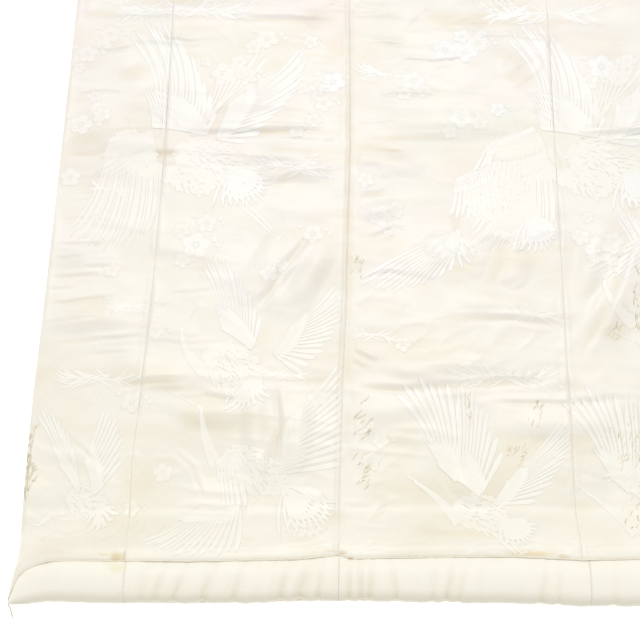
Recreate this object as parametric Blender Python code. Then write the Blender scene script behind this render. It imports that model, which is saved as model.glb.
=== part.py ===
"""An uchikake wedding kimono lying open on a flat surface, outside up, with its hem towards -Y.

Heights above the cloth's hem edge are called h and run towards the shoulders; a point's Y is h + HEM_Y.
Half widths are measured from the centre back seam, and the left side (-X) mirrors the right.
The two fronts are spread out beside the back up to FOLD_LOW_H. Above it each front is folded under
along a slanting line that the sleeve covers, and its upper end lies below the back.
"""

import math

import bpy
import numpy as np

# Driving sizes, in metres
BODY_LENGTH = 1.88          # from the hem edge of the cloth to the shoulder fold
SIDE_SEAM_TOP_H = 1.50      # where the side seam ends and the underarm opening starts
SHOULDER_HALF = 0.335       # centre back to the sleeve seam at the shoulder
NECK_HALF = 0.090           # centre back to the neck point
NECK_DIP = 0.038            # how far the back neckline drops below the shoulder
SLEEVE_WIDTH = 0.340
SLEEVE_LENGTH = 0.955
CUFF_OPENING = 0.230
COLLAR_WIDTH = 0.078
COLLAR_TOP_H = 1.925
COLLAR_CLEARANCE = 0.0035   # between the collar and the edge of each front
CLOTH = 0.0028              # brocade and lining together
SEAM_GAP = 0.0003
LAYER_GAP = 0.0005
COLLAR_THICKNESS = 0.0036   # the collar is a folded band
FOLD_LOW_H = 0.960          # the folded-under line meets the front edge here
FOLD_TOP_H = 1.660          # and the sleeve seam here
FOLD_EXTRA = 0.0034         # the second layer of cloth beside that line
FOLD_BAND = 0.110           # how far the second layer reaches in from the line
BACK_LIFT = 0.0044          # the back lies on the collar and fronts from BACK_LIFT_H up
BACK_LIFT_H = 1.36
RAMP_LENGTH = 0.054         # the cloth climbs onto the padded hem over this length
ROLL_INSET = 0.006          # the padded hem reaches this far in under the cloth
ROLL_SEAM_SHIFT = 0.0085    # the padded hem's middle seam lies this far to the right of the centre back
TAIL_END_H = -0.0880        # loose end of the corner thread
TAIL_THICKNESS = 0.0016
HEM_Y = -(COLLAR_TOP_H + TAIL_END_H) / 2   # puts the box's centre at the origin

# Half widths of the spread garment: side seam, overlap seam and front edge, by height
PLAN = {
    "h":       (-0.0650, -0.0420, -0.0200, 0.0000, 0.0350, 0.1300, 0.2200, 0.3600, 0.6000, 0.8800, 1.3000, 1.5000),
    "side":    (0.3170, 0.3170, 0.3170, 0.3170, 0.3170, 0.3165, 0.3155, 0.3110, 0.3080, 0.3115, 0.3160, 0.3180),
    "overlap": (0.5960, 0.5960, 0.5960, 0.5960, 0.6000, 0.6040, 0.5985, 0.5935, 0.5900, 0.5925, 0.5950, 0.5950),
    "edge":    (0.7530, 0.7475, 0.7430, 0.7430, 0.7455, 0.7496, 0.7503, 0.7490, 0.7480, 0.7480, 0.7480, 0.7480),
}

# Hem edge of the cloth, by distance from the centre back
HEM = {
    "x": (0.0000, 0.0300, 0.0900, 0.1700, 0.2600, 0.2980, 0.3100, 0.3170, 0.3290, 0.3690, 0.5000, 0.6500, 0.6950,
          0.7100, 0.7280, 0.7390, 0.7440, 0.7480, 0.7530),
    "h": (-0.0020, -0.0010, 0.0010, -0.0010, -0.0035, -0.0050, -0.0030, 0.0000, -0.0020, -0.0070, -0.0120, -0.0135,
          -0.0145, -0.0180, -0.0245, -0.0320, -0.0400, -0.0500, -0.0640),
}

# Padded hem roll, by distance from the centre back
ROLL = {
    "x":      (0.0000, 0.1000, 0.2400, 0.3200, 0.3700, 0.5000, 0.6000, 0.6800, 0.7000, 0.7150, 0.7300,
               0.7420, 0.7490, 0.7530),
    "outer":  (-0.0610, -0.0585, -0.0598, -0.0602, -0.0620, -0.0670, -0.0680, -0.0655, -0.0668, -0.0680,
               -0.0695, -0.0700, -0.0695, -0.0675),
    "height": (0.0355, 0.0365, 0.0360, 0.0350, 0.0370, 0.0375, 0.0380, 0.0370, 0.0345, 0.0305, 0.0245,
               0.0170, 0.0100, 0.0060),
}

# The neck end of each front: half width of its inner edge, where the collar is sewn, by height
COLLAR_LINE = {
    "h":    (1.470, 1.510, 1.550, 1.600, 1.660, 1.740, 1.810, 1.880),
    "half": (0.317, 0.262, 0.214, 0.166, 0.128, 0.104, 0.096, 0.090),
}

# Soft ridges in the spread cloth: both ends (x, h), half width and height
FOLDS = (
    # left overlap and left front
    {"from": (-0.745, 0.858), "to": (-0.330, 0.853), "width": 0.026, "height": 0.0055},
    {"from": (-0.740, 0.820), "to": (-0.420, 0.822), "width": 0.024, "height": 0.0040},
    {"from": (-0.735, 0.618), "to": (-0.560, 0.616), "width": 0.024, "height": 0.0045},
    {"from": (-0.580, 0.655), "to": (-0.322, 0.664), "width": 0.026, "height": 0.0060},
    {"from": (-0.545, 0.610), "to": (-0.330, 0.616), "width": 0.024, "height": 0.0045},
    {"from": (-0.460, 0.556), "to": (-0.322, 0.594), "width": 0.022, "height": 0.0055},
    {"from": (-0.386, 0.480), "to": (-0.466, 0.350), "width": 0.028, "height": 0.0070},
    {"from": (-0.336, 0.470), "to": (-0.408, 0.330), "width": 0.026, "height": 0.0065},
    {"from": (-0.742, 0.420), "to": (-0.640, 0.426), "width": 0.022, "height": 0.0045},
    {"from": (-0.744, 0.328), "to": (-0.600, 0.334), "width": 0.026, "height": 0.0055},
    {"from": (-0.660, 0.262), "to": (-0.480, 0.258), "width": 0.026, "height": 0.0055},
    {"from": (-0.560, 0.196), "to": (-0.440, 0.190), "width": 0.024, "height": 0.0045},
    {"from": (-0.438, 0.240), "to": (-0.440, 0.084), "width": 0.024, "height": 0.0065},
    {"from": (-0.382, 0.236), "to": (-0.386, 0.096), "width": 0.026, "height": 0.0075},
    # left back
    {"from": (-0.302, 0.654), "to": (-0.020, 0.652), "width": 0.026, "height": 0.0065},
    {"from": (-0.302, 0.590), "to": (-0.190, 0.588), "width": 0.022, "height": 0.0045},
    {"from": (-0.300, 0.508), "to": (-0.225, 0.512), "width": 0.022, "height": 0.0045},
    {"from": (-0.172, 0.364), "to": (0.010, 0.354), "width": 0.024, "height": 0.0055},
    {"from": (-0.302, 0.262), "to": (-0.020, 0.274), "width": 0.027, "height": 0.0080},
    {"from": (-0.302, 0.206), "to": (-0.176, 0.204), "width": 0.024, "height": 0.0050},
    {"from": (-0.130, 0.188), "to": (0.100, 0.196), "width": 0.022, "height": 0.0050},
    {"from": (-0.178, 0.120), "to": (-0.098, 0.070), "width": 0.022, "height": 0.0045},
    # right back
    {"from": (0.020, 0.652), "to": (0.292, 0.662), "width": 0.028, "height": 0.0065},
    {"from": (0.158, 0.510), "to": (0.036, 0.286), "width": 0.034, "height": 0.0090},
    {"from": (0.090, 0.500), "to": (0.004, 0.346), "width": 0.028, "height": 0.0060},
    {"from": (0.060, 0.262), "to": (0.296, 0.272), "width": 0.030, "height": 0.0075},
    {"from": (0.190, 0.150), "to": (0.256, 0.092), "width": 0.024, "height": 0.0050},
    # right front and right overlap
    {"from": (0.330, 0.862), "to": (0.740, 0.840), "width": 0.030, "height": 0.0060},
    {"from": (0.345, 0.700), "to": (0.560, 0.716), "width": 0.032, "height": 0.0065},
    {"from": (0.450, 0.540), "to": (0.384, 0.392), "width": 0.032, "height": 0.0075},
    {"from": (0.620, 0.566), "to": (0.742, 0.552), "width": 0.026, "height": 0.0050},
    {"from": (0.360, 0.292), "to": (0.585, 0.272), "width": 0.030, "height": 0.0065},
    {"from": (0.615, 0.206), "to": (0.738, 0.192), "width": 0.026, "height": 0.0050},
    {"from": (0.446, 0.192), "to": (0.466, 0.092), "width": 0.026, "height": 0.0065},
    # upper back, above the picture
    {"from": (-0.290, 1.030), "to": (-0.040, 1.044), "width": 0.036, "height": 0.0080},
    {"from": (0.030, 1.060), "to": (0.295, 1.036), "width": 0.036, "height": 0.0075},
    {"from": (-0.250, 1.262), "to": (-0.030, 1.236), "width": 0.036, "height": 0.0070},
    {"from": (0.060, 1.250), "to": (0.280, 1.268), "width": 0.034, "height": 0.0065},
    {"from": (-0.290, 1.500), "to": (-0.120, 1.560), "width": 0.036, "height": 0.0055},
    {"from": (0.110, 1.570), "to": (0.290, 1.500), "width": 0.036, "height": 0.0055},
    {"from": (-0.250, 1.720), "to": (-0.080, 1.745), "width": 0.032, "height": 0.0045},
    {"from": (0.080, 1.740), "to": (0.250, 1.715), "width": 0.032, "height": 0.0045},
)

# Soft ridges across the sleeves: half widths from and to, height above the hem, half width, height
SLEEVE_FOLDS = (
    {"near": 0.350, "far": 0.560, "near_h": 1.600, "far_h": 1.570, "width": 0.034, "height": 0.0060},
    {"near": 0.420, "far": 0.660, "near_h": 1.372, "far_h": 1.392, "width": 0.036, "height": 0.0065},
    {"near": 0.345, "far": 0.560, "near_h": 1.190, "far_h": 1.160, "width": 0.034, "height": 0.0060},
    {"near": 0.470, "far": 0.665, "near_h": 1.020, "far_h": 1.040, "width": 0.030, "height": 0.0050},
)

# Puckers in the padded hem: x at the cloth's edge, x at the outer side, half width and depth
PUCKERS = (
    {"top": -0.569, "low": -0.574, "width": 0.010, "depth": 0.0022},
    {"top": -0.542, "low": -0.554, "width": 0.011, "depth": 0.0026},
    {"top": -0.514, "low": -0.530, "width": 0.010, "depth": 0.0020},
    {"top": -0.476, "low": -0.492, "width": 0.011, "depth": 0.0026},
    {"top": -0.440, "low": -0.452, "width": 0.010, "depth": 0.0024},
    {"top": -0.380, "low": -0.389, "width": 0.011, "depth": 0.0026},
    {"top": -0.352, "low": -0.366, "width": 0.010, "depth": 0.0028},
    {"top": -0.293, "low": -0.291, "width": 0.010, "depth": 0.0026},
    {"top": -0.272, "low": -0.276, "width": 0.010, "depth": 0.0028},
    {"top": -0.251, "low": -0.244, "width": 0.011, "depth": 0.0020},
    {"top": -0.190, "low": -0.194, "width": 0.011, "depth": 0.0018},
    {"top": -0.164, "low": -0.176, "width": 0.011, "depth": 0.0026},
    {"top": -0.043, "low": -0.054, "width": 0.010, "depth": 0.0020},
    {"top": -0.022, "low": -0.024, "width": 0.010, "depth": 0.0020},
    {"top": 0.044, "low": 0.040, "width": 0.011, "depth": 0.0018},
    {"top": 0.120, "low": 0.132, "width": 0.011, "depth": 0.0024},
    {"top": 0.168, "low": 0.176, "width": 0.010, "depth": 0.0022},
    {"top": 0.252, "low": 0.262, "width": 0.011, "depth": 0.0026},
    {"top": 0.286, "low": 0.290, "width": 0.010, "depth": 0.0024},
    {"top": 0.348, "low": 0.358, "width": 0.010, "depth": 0.0028},
    {"top": 0.384, "low": 0.396, "width": 0.011, "depth": 0.0026},
    {"top": 0.452, "low": 0.466, "width": 0.011, "depth": 0.0022},
    {"top": 0.498, "low": 0.512, "width": 0.011, "depth": 0.0024},
    {"top": 0.560, "low": 0.570, "width": 0.011, "depth": 0.0022},
    {"top": 0.640, "low": 0.646, "width": 0.012, "depth": 0.0016},
)

# Base colour, roughness and metallic value of each cloth
MATERIALS = {
    "brocade": ((0.90, 0.87, 0.79), 0.38, 0.0),
    "hem_satin": ((0.90, 0.88, 0.81), 0.42, 0.0),
    "thread": ((0.78, 0.75, 0.66), 0.70, 0.0),
}


def clear_scene():
    for obj in list(bpy.data.objects):
        bpy.data.objects.remove(obj)


def material(name):
    """The Principled material of that name, made once."""
    found = bpy.data.materials.get(name)
    if found is None:
        found = bpy.data.materials.new(name)
        found.use_nodes = True
        colour, roughness, metallic = MATERIALS[name]
        shader = found.node_tree.nodes["Principled BSDF"]
        shader.inputs["Base Color"].default_value = (*colour, 1.0)
        shader.inputs["Roughness"].default_value = roughness
        shader.inputs["Metallic"].default_value = metallic
    return found


def smooth_step(value):
    t = np.clip(value, 0.0, 1.0)
    return t * t * (3.0 - 2.0 * t)


def from_table(table, key, column, at):
    return np.interp(at, table[key], table[column])


def side_half(h):
    return from_table(PLAN, "h", "side", h)


def overlap_half(h):
    return from_table(PLAN, "h", "overlap", h)


def edge_half(h):
    return from_table(PLAN, "h", "edge", h)


def hem_height(x):
    """h of the cloth's hem edge at x."""
    return from_table(HEM, "x", "h", np.abs(x))


def fold_line_half(h):
    """Half width of the line along which a front is folded under."""
    share = (FOLD_TOP_H - h) / (FOLD_TOP_H - FOLD_LOW_H)
    return SHOULDER_HALF + (edge_half(FOLD_LOW_H) - SHOULDER_HALF) * share


def back_half(h):
    """Half width of the back: the side seam, then the sleeve seam."""
    share = (h - SIDE_SEAM_TOP_H) / (BODY_LENGTH - SIDE_SEAM_TOP_H)
    upper = side_half(SIDE_SEAM_TOP_H) + (SHOULDER_HALF - side_half(SIDE_SEAM_TOP_H)) * share
    return np.where(h < SIDE_SEAM_TOP_H, side_half(h), upper)


def ridge(x, h, start, end, width, height):
    """Height of one soft ridge: a bell across its line that dies away at both ends and is zero past them."""
    (x0, h0), (x1, h1) = start, end
    dx, dh = x1 - x0, h1 - h0
    long = math.hypot(dx, dh)
    along = ((x - x0) * dx + (h - h0) * dh) / long
    across = ((h - h0) * dx - (x - x0) * dh) / long
    ends = smooth_step(along / (0.22 * long)) * smooth_step((long - along) / (0.22 * long))
    bell = np.clip(1.0 - (across / width) ** 2, 0.0, 1.0) ** 2
    return height * bell * ends


def fold_heights(x, h):
    total = np.zeros_like(x)
    for fold in FOLDS:
        total = total + ridge(x, h, fold["from"], fold["to"], fold["width"], fold["height"])
    return total


def roll_outer(x):
    return from_table(ROLL, "x", "outer", np.abs(x))


def roll_height(x):
    return from_table(ROLL, "x", "height", np.abs(x))


def roll_section(x, angle):
    """(h, z) on the plain padded hem at x. Angle 0 points in under the cloth and a quarter turn points up."""
    inner = hem_height(x) + ROLL_INSET
    centre, half = (inner + roll_outer(x)) / 2, (inner - roll_outer(x)) / 2
    tall = roll_height(x)
    h = centre + half * np.cos(angle)
    z = np.maximum(tall * 0.45 + tall * 0.55 * np.sin(angle), 0.0)
    return h, z


def roll_top_at_hem(x):
    """z of the padded hem where the cloth's edge lies on it."""
    inner = hem_height(x) + ROLL_INSET
    centre, half = (inner + roll_outer(x)) / 2, (inner - roll_outer(x)) / 2
    share = np.clip((hem_height(x) - centre) / half, -1.0, 1.0)
    tall = roll_height(x)
    return tall * 0.45 + tall * 0.55 * np.sqrt(1.0 - share**2)


def hem_ramp(x, h):
    """How far the cloth is lifted where it climbs onto the padded hem."""
    edge = roll_top_at_hem(x) + LAYER_GAP + 0.0006
    return edge * (1.0 - smooth_step((h - hem_height(x)) / RAMP_LENGTH))


def cloth_under(x, h):
    """z of the underside of the back and of the spread fronts."""
    flat = 1.0 - smooth_step((hem_height(x) + RAMP_LENGTH - h) / 0.02)
    return hem_ramp(x, h) + fold_heights(x, h) * flat


def back_under(x, h):
    return cloth_under(x, h) + BACK_LIFT * smooth_step((h - BACK_LIFT_H) / 0.08)


def second_layer(x, h):
    """Share, from 0 to 1, of the folded-under layer of a front at a point."""
    inwards = fold_line_half(h) - np.abs(x)
    near = 1.0 - smooth_step((inwards - FOLD_BAND) / 0.04)
    outside_back = smooth_step((np.abs(x) - SHOULDER_HALF - 0.004) / 0.02)
    rows = smooth_step((h - FOLD_LOW_H + 0.10) / 0.10) * smooth_step((FOLD_TOP_H + 0.02 - h) / 0.04)
    return near * outside_back * rows


def add_mesh(name, points, faces, cloth):
    """A mesh object from points and faces, with its normals turned outwards."""
    mesh = bpy.data.meshes.new(name)
    mesh.from_pydata([tuple(map(float, p)) for p in points], [], faces)
    mesh.materials.append(material(cloth))
    mesh.validate()
    if signed_volume(mesh) < 0:
        mesh.flip_normals()
    mesh.shade_smooth()
    mesh.set_sharp_from_angle(angle=math.radians(50))
    obj = bpy.data.objects.new(name, mesh)
    bpy.context.scene.collection.objects.link(obj)
    return obj


def signed_volume(mesh):
    mesh.calc_loop_triangles()
    points = np.empty(len(mesh.vertices) * 3, np.float32)
    mesh.vertices.foreach_get("co", points)
    corners = np.empty(len(mesh.loop_triangles) * 3, np.int32)
    mesh.loop_triangles.foreach_get("vertices", corners)
    a, b, c = points.reshape(-1, 3)[corners.reshape(-1, 3)].astype(float).transpose(1, 0, 2)
    return float((a * np.cross(b, c)).sum() / 6)


def wall(name, x, h, under, over, cloth="brocade"):
    """A closed wall over a grid of plan points. x, h, under and over have one row for each section."""
    rows, columns = x.shape
    y = h + HEM_Y
    low = np.stack([x, y, under], axis=-1).reshape(-1, 3)
    high = np.stack([x, y, over], axis=-1).reshape(-1, 3)
    size = rows * columns
    faces = []
    for row in range(rows - 1):
        for column in range(columns - 1):
            a = row * columns + column
            b, c, d = a + 1, a + columns + 1, a + columns
            faces.append((size + a, size + b, size + c, size + d))
            faces.append((a, d, c, b))
    rim = [column for column in range(columns)]
    rim += [row * columns + columns - 1 for row in range(1, rows)]
    rim += [(rows - 1) * columns + column for column in range(columns - 2, -1, -1)]
    rim += [row * columns for row in range(rows - 2, 0, -1)]
    for a, b in zip(rim, rim[1:] + rim[:1]):
        faces.append((a, b, size + b, size + a))
    return add_mesh(name, np.concatenate([low, high]), faces, cloth)


def section_heights(side, low_h, high_h, spacing=0.048):
    """Heights of a panel's sections: evenly spaced, and closer where a ridge crosses that side."""
    count = int(round((high_h - low_h) / spacing))
    levels = list(np.linspace(low_h, high_h, count + 1))
    for fold in FOLDS:
        middle = (fold["from"][1] + fold["to"][1]) / 2
        across = abs(fold["to"][1] - fold["from"][1]) < 0.05
        if across and side * fold["from"][0] > 0 and low_h < middle < high_h:
            levels += [middle - 0.6 * fold["width"], middle, middle + 0.6 * fold["width"]]
    levels.sort()
    kept = [levels[0]]
    for level in levels[1:-1]:
        if level - kept[-1] > 0.010 and high_h - level > 0.010:
            kept.append(level)
    return np.array(kept + [levels[-1]])


def back_panel(name, side):
    """One half of the back, from the hem to the shoulder fold, with the neckline cut into its top."""
    across = np.array([0.0, 0.06, 0.16, 0.28, 0.40, 0.53, 0.66, 0.79, 0.91, 1.0])
    ramp = np.array([0.0, 0.010, 0.020, 0.032, 0.045, 0.060])
    levels = np.concatenate([ramp, section_heights(side, 0.095, BODY_LENGTH)])
    level, share = np.meshgrid(levels, across, indexing="ij")
    half = SEAM_GAP / 2 + share * (back_half(level) - SEAM_GAP)
    neck = NECK_DIP * np.sqrt(np.clip(1.0 - (half / NECK_HALF) ** 2, 0.0, 1.0))
    top = BODY_LENGTH - neck
    hem = hem_height(half)
    h = hem + level * (top - hem) / BODY_LENGTH
    x = side * half
    under = back_under(x, h)
    # The last section bends down round the shoulder fold to meet the front.
    over = under + CLOTH
    over[-1] = under[-1] + 0.4 * CLOTH
    return wall(name, x, h, under, over)


def front_panel(name, side):
    """One front: spread out beside the back, folded under below the sleeve, and running up to the shoulder."""
    across = np.array([0.0, 0.035, 0.13, 0.26, 0.40, 0.55, 0.70, 0.86, 1.0])
    ramp = np.array([0.0, 0.010, 0.020, 0.032, 0.045, 0.060])
    levels = np.concatenate([ramp, section_heights(side, 0.095, BODY_LENGTH)])
    level, share = np.meshgrid(levels, across, indexing="ij")
    outer = np.where(level < FOLD_LOW_H, overlap_half(level), np.minimum(overlap_half(level), fold_line_half(level)))
    outer = np.where(level > FOLD_TOP_H, SHOULDER_HALF, outer) - SEAM_GAP / 2
    line = from_table(COLLAR_LINE, "h", "half", level)
    inner = np.where(level < COLLAR_LINE["h"][0], side_half(level), np.minimum(line, side_half(level)))
    half = outer + share * (inner + SEAM_GAP / 2 - outer)
    x = side * half
    hem = hem_height(half)
    h = np.where(level < 0.2, hem + level * (0.2 - hem) / 0.2, level)
    h = np.minimum(h, BODY_LENGTH - 0.0008)
    below_back = smooth_step((h - BACK_LIFT_H) / 0.05)
    under = cloth_under(x, h) * (1.0 - below_back)
    over = under + CLOTH + FOLD_EXTRA * second_layer(x, h)
    # The folded edge is rounded: its outermost points lie half way down.
    rounded = (level >= FOLD_LOW_H) & (level <= FOLD_TOP_H) & (share == 0.0) & (outer < overlap_half(level) - 0.001)
    over = np.where(rounded, under + 0.55 * (over - under), over)
    return wall(name, x, h, under, over)


def overlap_panel(name, side):
    """The narrow panel along one front edge. Its hem corner runs down the end of the padded hem to a point."""
    across = np.array([0.0, 0.030, 0.070, 0.130, 0.230, 0.400, 0.600, 0.800, 1.0])
    ramp = np.array([0.0, 0.010, 0.020, 0.032, 0.045, 0.060])
    tip_h = FOLD_TOP_H - (overlap_half(1.2) - SHOULDER_HALF) / (
        (edge_half(FOLD_LOW_H) - SHOULDER_HALF) / (FOLD_TOP_H - FOLD_LOW_H))
    levels = np.concatenate([ramp, section_heights(side, 0.095, tip_h - 0.006)])
    level, share = np.meshgrid(levels, across, indexing="ij")
    outer = np.where(level < FOLD_LOW_H, edge_half(level), fold_line_half(level))
    # At the hem the outer edge leans out to the corner's point.
    corner = 1.0 - smooth_step(level / 0.034)
    outer = outer + (PLAN["edge"][0] - outer) * corner
    half = outer + share * (overlap_half(level) + SEAM_GAP / 2 - outer)
    x = side * half
    hem = hem_height(half)
    h = np.where(level < 0.2, hem + level * (0.2 - hem) / 0.2, level)
    under = cloth_under(x, h)
    over = under + CLOTH + FOLD_EXTRA * second_layer(x, h)
    rounded = (level > FOLD_LOW_H + 0.01) & (share == 0.0)
    over = np.where(rounded, under + 0.55 * (over - under), over)
    return wall(name, x, h, under, over)


def roll_point(x, angle):
    """(y, z) on the padded hem at x, with its puckers pressed in."""
    h, z = roll_section(x, angle)
    up = np.clip(np.sin(angle), 0.0, 1.0)
    out = np.clip(-np.cos(angle), 0.0, 1.0)
    place = np.clip((1.0 - np.cos(angle)) / 2, 0.0, 1.0)
    depth = np.zeros_like(h)
    for pucker in PUCKERS:
        middle = pucker["top"] + (pucker["low"] - pucker["top"]) * place
        bell = np.clip(1.0 - ((x - middle) / pucker["width"]) ** 2, 0.0, 1.0) ** 2
        depth = depth + pucker["depth"] * bell
    return h + depth * out * 0.8 + HEM_Y, z - depth * up * smooth_step(z / 0.01)


def roll_piece(name, start, end):
    """One length of the padded hem between two seams, closed at both ends."""
    count = max(6, int(round(abs(end - start) / 0.0145)))
    stations = np.linspace(start, end, count + 1)
    if max(abs(start), abs(end)) > 0.74:
        tip = math.copysign(1.0, start + end)
        body = np.linspace(min(abs(start), abs(end)), 0.700, 9)
        stations = tip * np.concatenate([body, [0.715, 0.727, 0.736, 0.743, 0.748, 0.7515, 0.7535]])
    angles = np.radians([0, 24, 48, 70, 92, 115, 138, 160, 182, 206, 236, 304, 334])
    station, angle = np.meshgrid(stations, angles, indexing="ij")
    y, z = roll_point(station, angle)
    points = np.stack([station, y, z], axis=-1).reshape(-1, 3)
    sides = len(angles)
    faces = []
    for row in range(len(stations) - 1):
        for k in range(sides):
            a, b = row * sides + k, row * sides + (k + 1) % sides
            faces.append((a, b, b + sides, a + sides))
    faces.append(tuple(reversed(range(sides))))
    faces.append(tuple(range(len(points) - sides, len(points))))
    return add_mesh(name, points, faces, "hem_satin")


def sleeve_floor(half, h):
    """z of a sleeve's underside: on the table, or lifted where it lies over the spread front."""
    beyond = smooth_step((half - fold_line_half(h) - 0.036) / 0.040)
    above = smooth_step((h - FOLD_TOP_H - 0.036) / 0.040)
    return (CLOTH + FOLD_EXTRA + LAYER_GAP) * (1.0 - beyond) * (1.0 - above)


def sleeve(name, side):
    """A flat bag of cloth: folded at the top, sewn along the bottom and below the cuff, open at the body side."""
    low_h = BODY_LENGTH - SLEEVE_LENGTH
    opening_h = BODY_LENGTH - CUFF_OPENING
    below = np.linspace(low_h + 0.014, opening_h, 15)
    above = np.linspace(opening_h, BODY_LENGTH - 0.014, 6)[1:]
    levels = np.concatenate([[low_h], below, above, [BODY_LENGTH]])
    inner = SHOULDER_HALF + SEAM_GAP
    # The lower outside corner is rounded off.
    corner = np.clip((low_h + 0.035 - levels) / 0.035, 0.0, 1.0)
    outer = SHOULDER_HALF + SLEEVE_WIDTH - 0.022 * corner**2
    # One column of points follows the folded edge of the front that lies below.
    follow = np.clip(fold_line_half(levels) + 0.036, inner + 0.080, outer - 0.090)
    columns = [inner + share * (follow - inner) for share in (0.0, 0.16, 0.44, 0.72, 1.0)]
    columns += [follow + share * (outer - follow) for share in (0.42, 0.84, 1.0)]
    half = np.stack(columns, axis=1)
    h = np.repeat(levels[:, None], half.shape[1], axis=1)
    rise = np.zeros_like(h)
    for fold in SLEEVE_FOLDS:
        rise = rise + ridge(half, h, (fold["near"], fold["near_h"]), (fold["far"], fold["far_h"]),
                            fold["width"], fold["height"])
    z0 = sleeve_floor(half, h) + rise
    rounded = (h == levels[0]) | (h == levels[-1])
    thick = np.where(rounded, 0.55, 1.0)
    z1 = z0 + CLOTH
    z2 = z1 + 0.0010
    z3 = z0 + (2 * CLOTH + 0.0010) * thick
    rows, columns = h.shape
    open_cell = np.ones((rows - 1, columns - 1), bool)
    open_cell[0, :] = False
    open_cell[-1, :] = False
    sewn = levels[:-1] < opening_h - 1e-6
    open_cell[sewn, -1] = False
    return bag(name, side * half, h, (z0, z1, z2, z3), open_cell)


def bag(name, x, h, heights, open_cell):
    """A closed solid with a thin hollow between its two leaves wherever open_cell is true."""
    rows, columns = x.shape
    size = rows * columns
    points = np.concatenate([np.stack([x, h + HEM_Y, z], axis=-1).reshape(-1, 3) for z in heights])
    faces = []

    def layer(k, row, column):
        return k * size + row * columns + column

    def quad(k, row, column, turned):
        ring = [layer(k, row, column), layer(k, row, column + 1),
                layer(k, row + 1, column + 1), layer(k, row + 1, column)]
        faces.append(tuple(reversed(ring)) if turned else tuple(ring))

    def is_open(row, column):
        inside = 0 <= row < rows - 1 and 0 <= column < columns - 1
        return inside and bool(open_cell[row, column])

    def touches_hollow(row, column):
        return any(is_open(r, c) for r in (row - 1, row) for c in (column - 1, column))

    def column_points(row, column, full):
        levels = range(4) if full or touches_hollow(row, column) else (0, 3)
        return [layer(k, row, column) for k in levels]

    def edge_walls(row, column, start, end):
        """The faces that stand on one side of a cell, seen from inside the cell with start on the right."""
        other = (row + end[2], column + end[3])
        inside = 0 <= other[0] < rows - 1 and 0 <= other[1] < columns - 1
        a, b = start, end[:2]
        if not inside:
            if is_open(row, column):
                for k in (0, 2):
                    faces.append((layer(k, *a), layer(k, *b), layer(k + 1, *b), layer(k + 1, *a)))
            else:
                up = column_points(*b, False)
                down = list(reversed(column_points(*a, False)))
                faces.append(tuple([*up, *down]))
        elif is_open(row, column) and not is_open(*other):
            faces.append((layer(1, *b), layer(1, *a), layer(2, *a), layer(2, *b)))

    for row in range(rows - 1):
        for column in range(columns - 1):
            quad(0, row, column, True)
            quad(3, row, column, False)
            if is_open(row, column):
                quad(1, row, column, False)
                quad(2, row, column, True)
            edge_walls(row, column, (row, column), (row, column + 1, -1, 0))
            edge_walls(row, column, (row, column + 1), (row + 1, column + 1, 0, 1))
            edge_walls(row, column, (row + 1, column + 1), (row + 1, column, 1, 0))
            edge_walls(row, column, (row + 1, column), (row, column, 0, -1))
    used = sorted({index for face in faces for index in face})
    number = {index: place for place, index in enumerate(used)}
    faces = [tuple(number[index] for index in face) for face in faces]
    return add_mesh(name, points[used], consistent(faces), "brocade")


def consistent(faces):
    """The same faces, each turned so that neighbours run opposite ways along their shared edge."""
    by_edge = {}
    for number, face in enumerate(faces):
        for a, b in zip(face, face[1:] + face[:1]):
            by_edge.setdefault(frozenset((a, b)), []).append(number)
    turned = list(faces)
    done = {0}
    waiting = [0]
    while waiting:
        face = turned[waiting.pop()]
        for a, b in zip(face, face[1:] + face[:1]):
            for other in by_edge[frozenset((a, b))]:
                if other in done:
                    continue
                ring = turned[other]
                if (a, b) in list(zip(ring, ring[1:] + ring[:1])):
                    turned[other] = tuple(reversed(ring))
                done.add(other)
                waiting.append(other)
    return turned


def collar_centre(share):
    """(half width, h) of the middle of the collar band: 0 at its hidden end, 1 at the centre back."""
    line_h = np.array(COLLAR_LINE["h"])
    line_half = np.array(COLLAR_LINE["half"])
    route_half = np.concatenate([line_half[:-1] - COLLAR_WIDTH * 0.52, [0.047, 0.034, 0.016, 0.0]])
    route_h = np.concatenate([line_h[:-1] + np.array([-0.020, -0.018, -0.014, -0.010, -0.004, 0.0, 0.0]),
                              [1.852, 1.874, 1.884, COLLAR_TOP_H - COLLAR_WIDTH / 2]])
    long = np.concatenate([[0], np.cumsum(np.hypot(np.diff(route_half), np.diff(route_h)))])
    return np.interp(share * long[-1], long, route_half), np.interp(share * long[-1], long, route_h)


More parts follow.
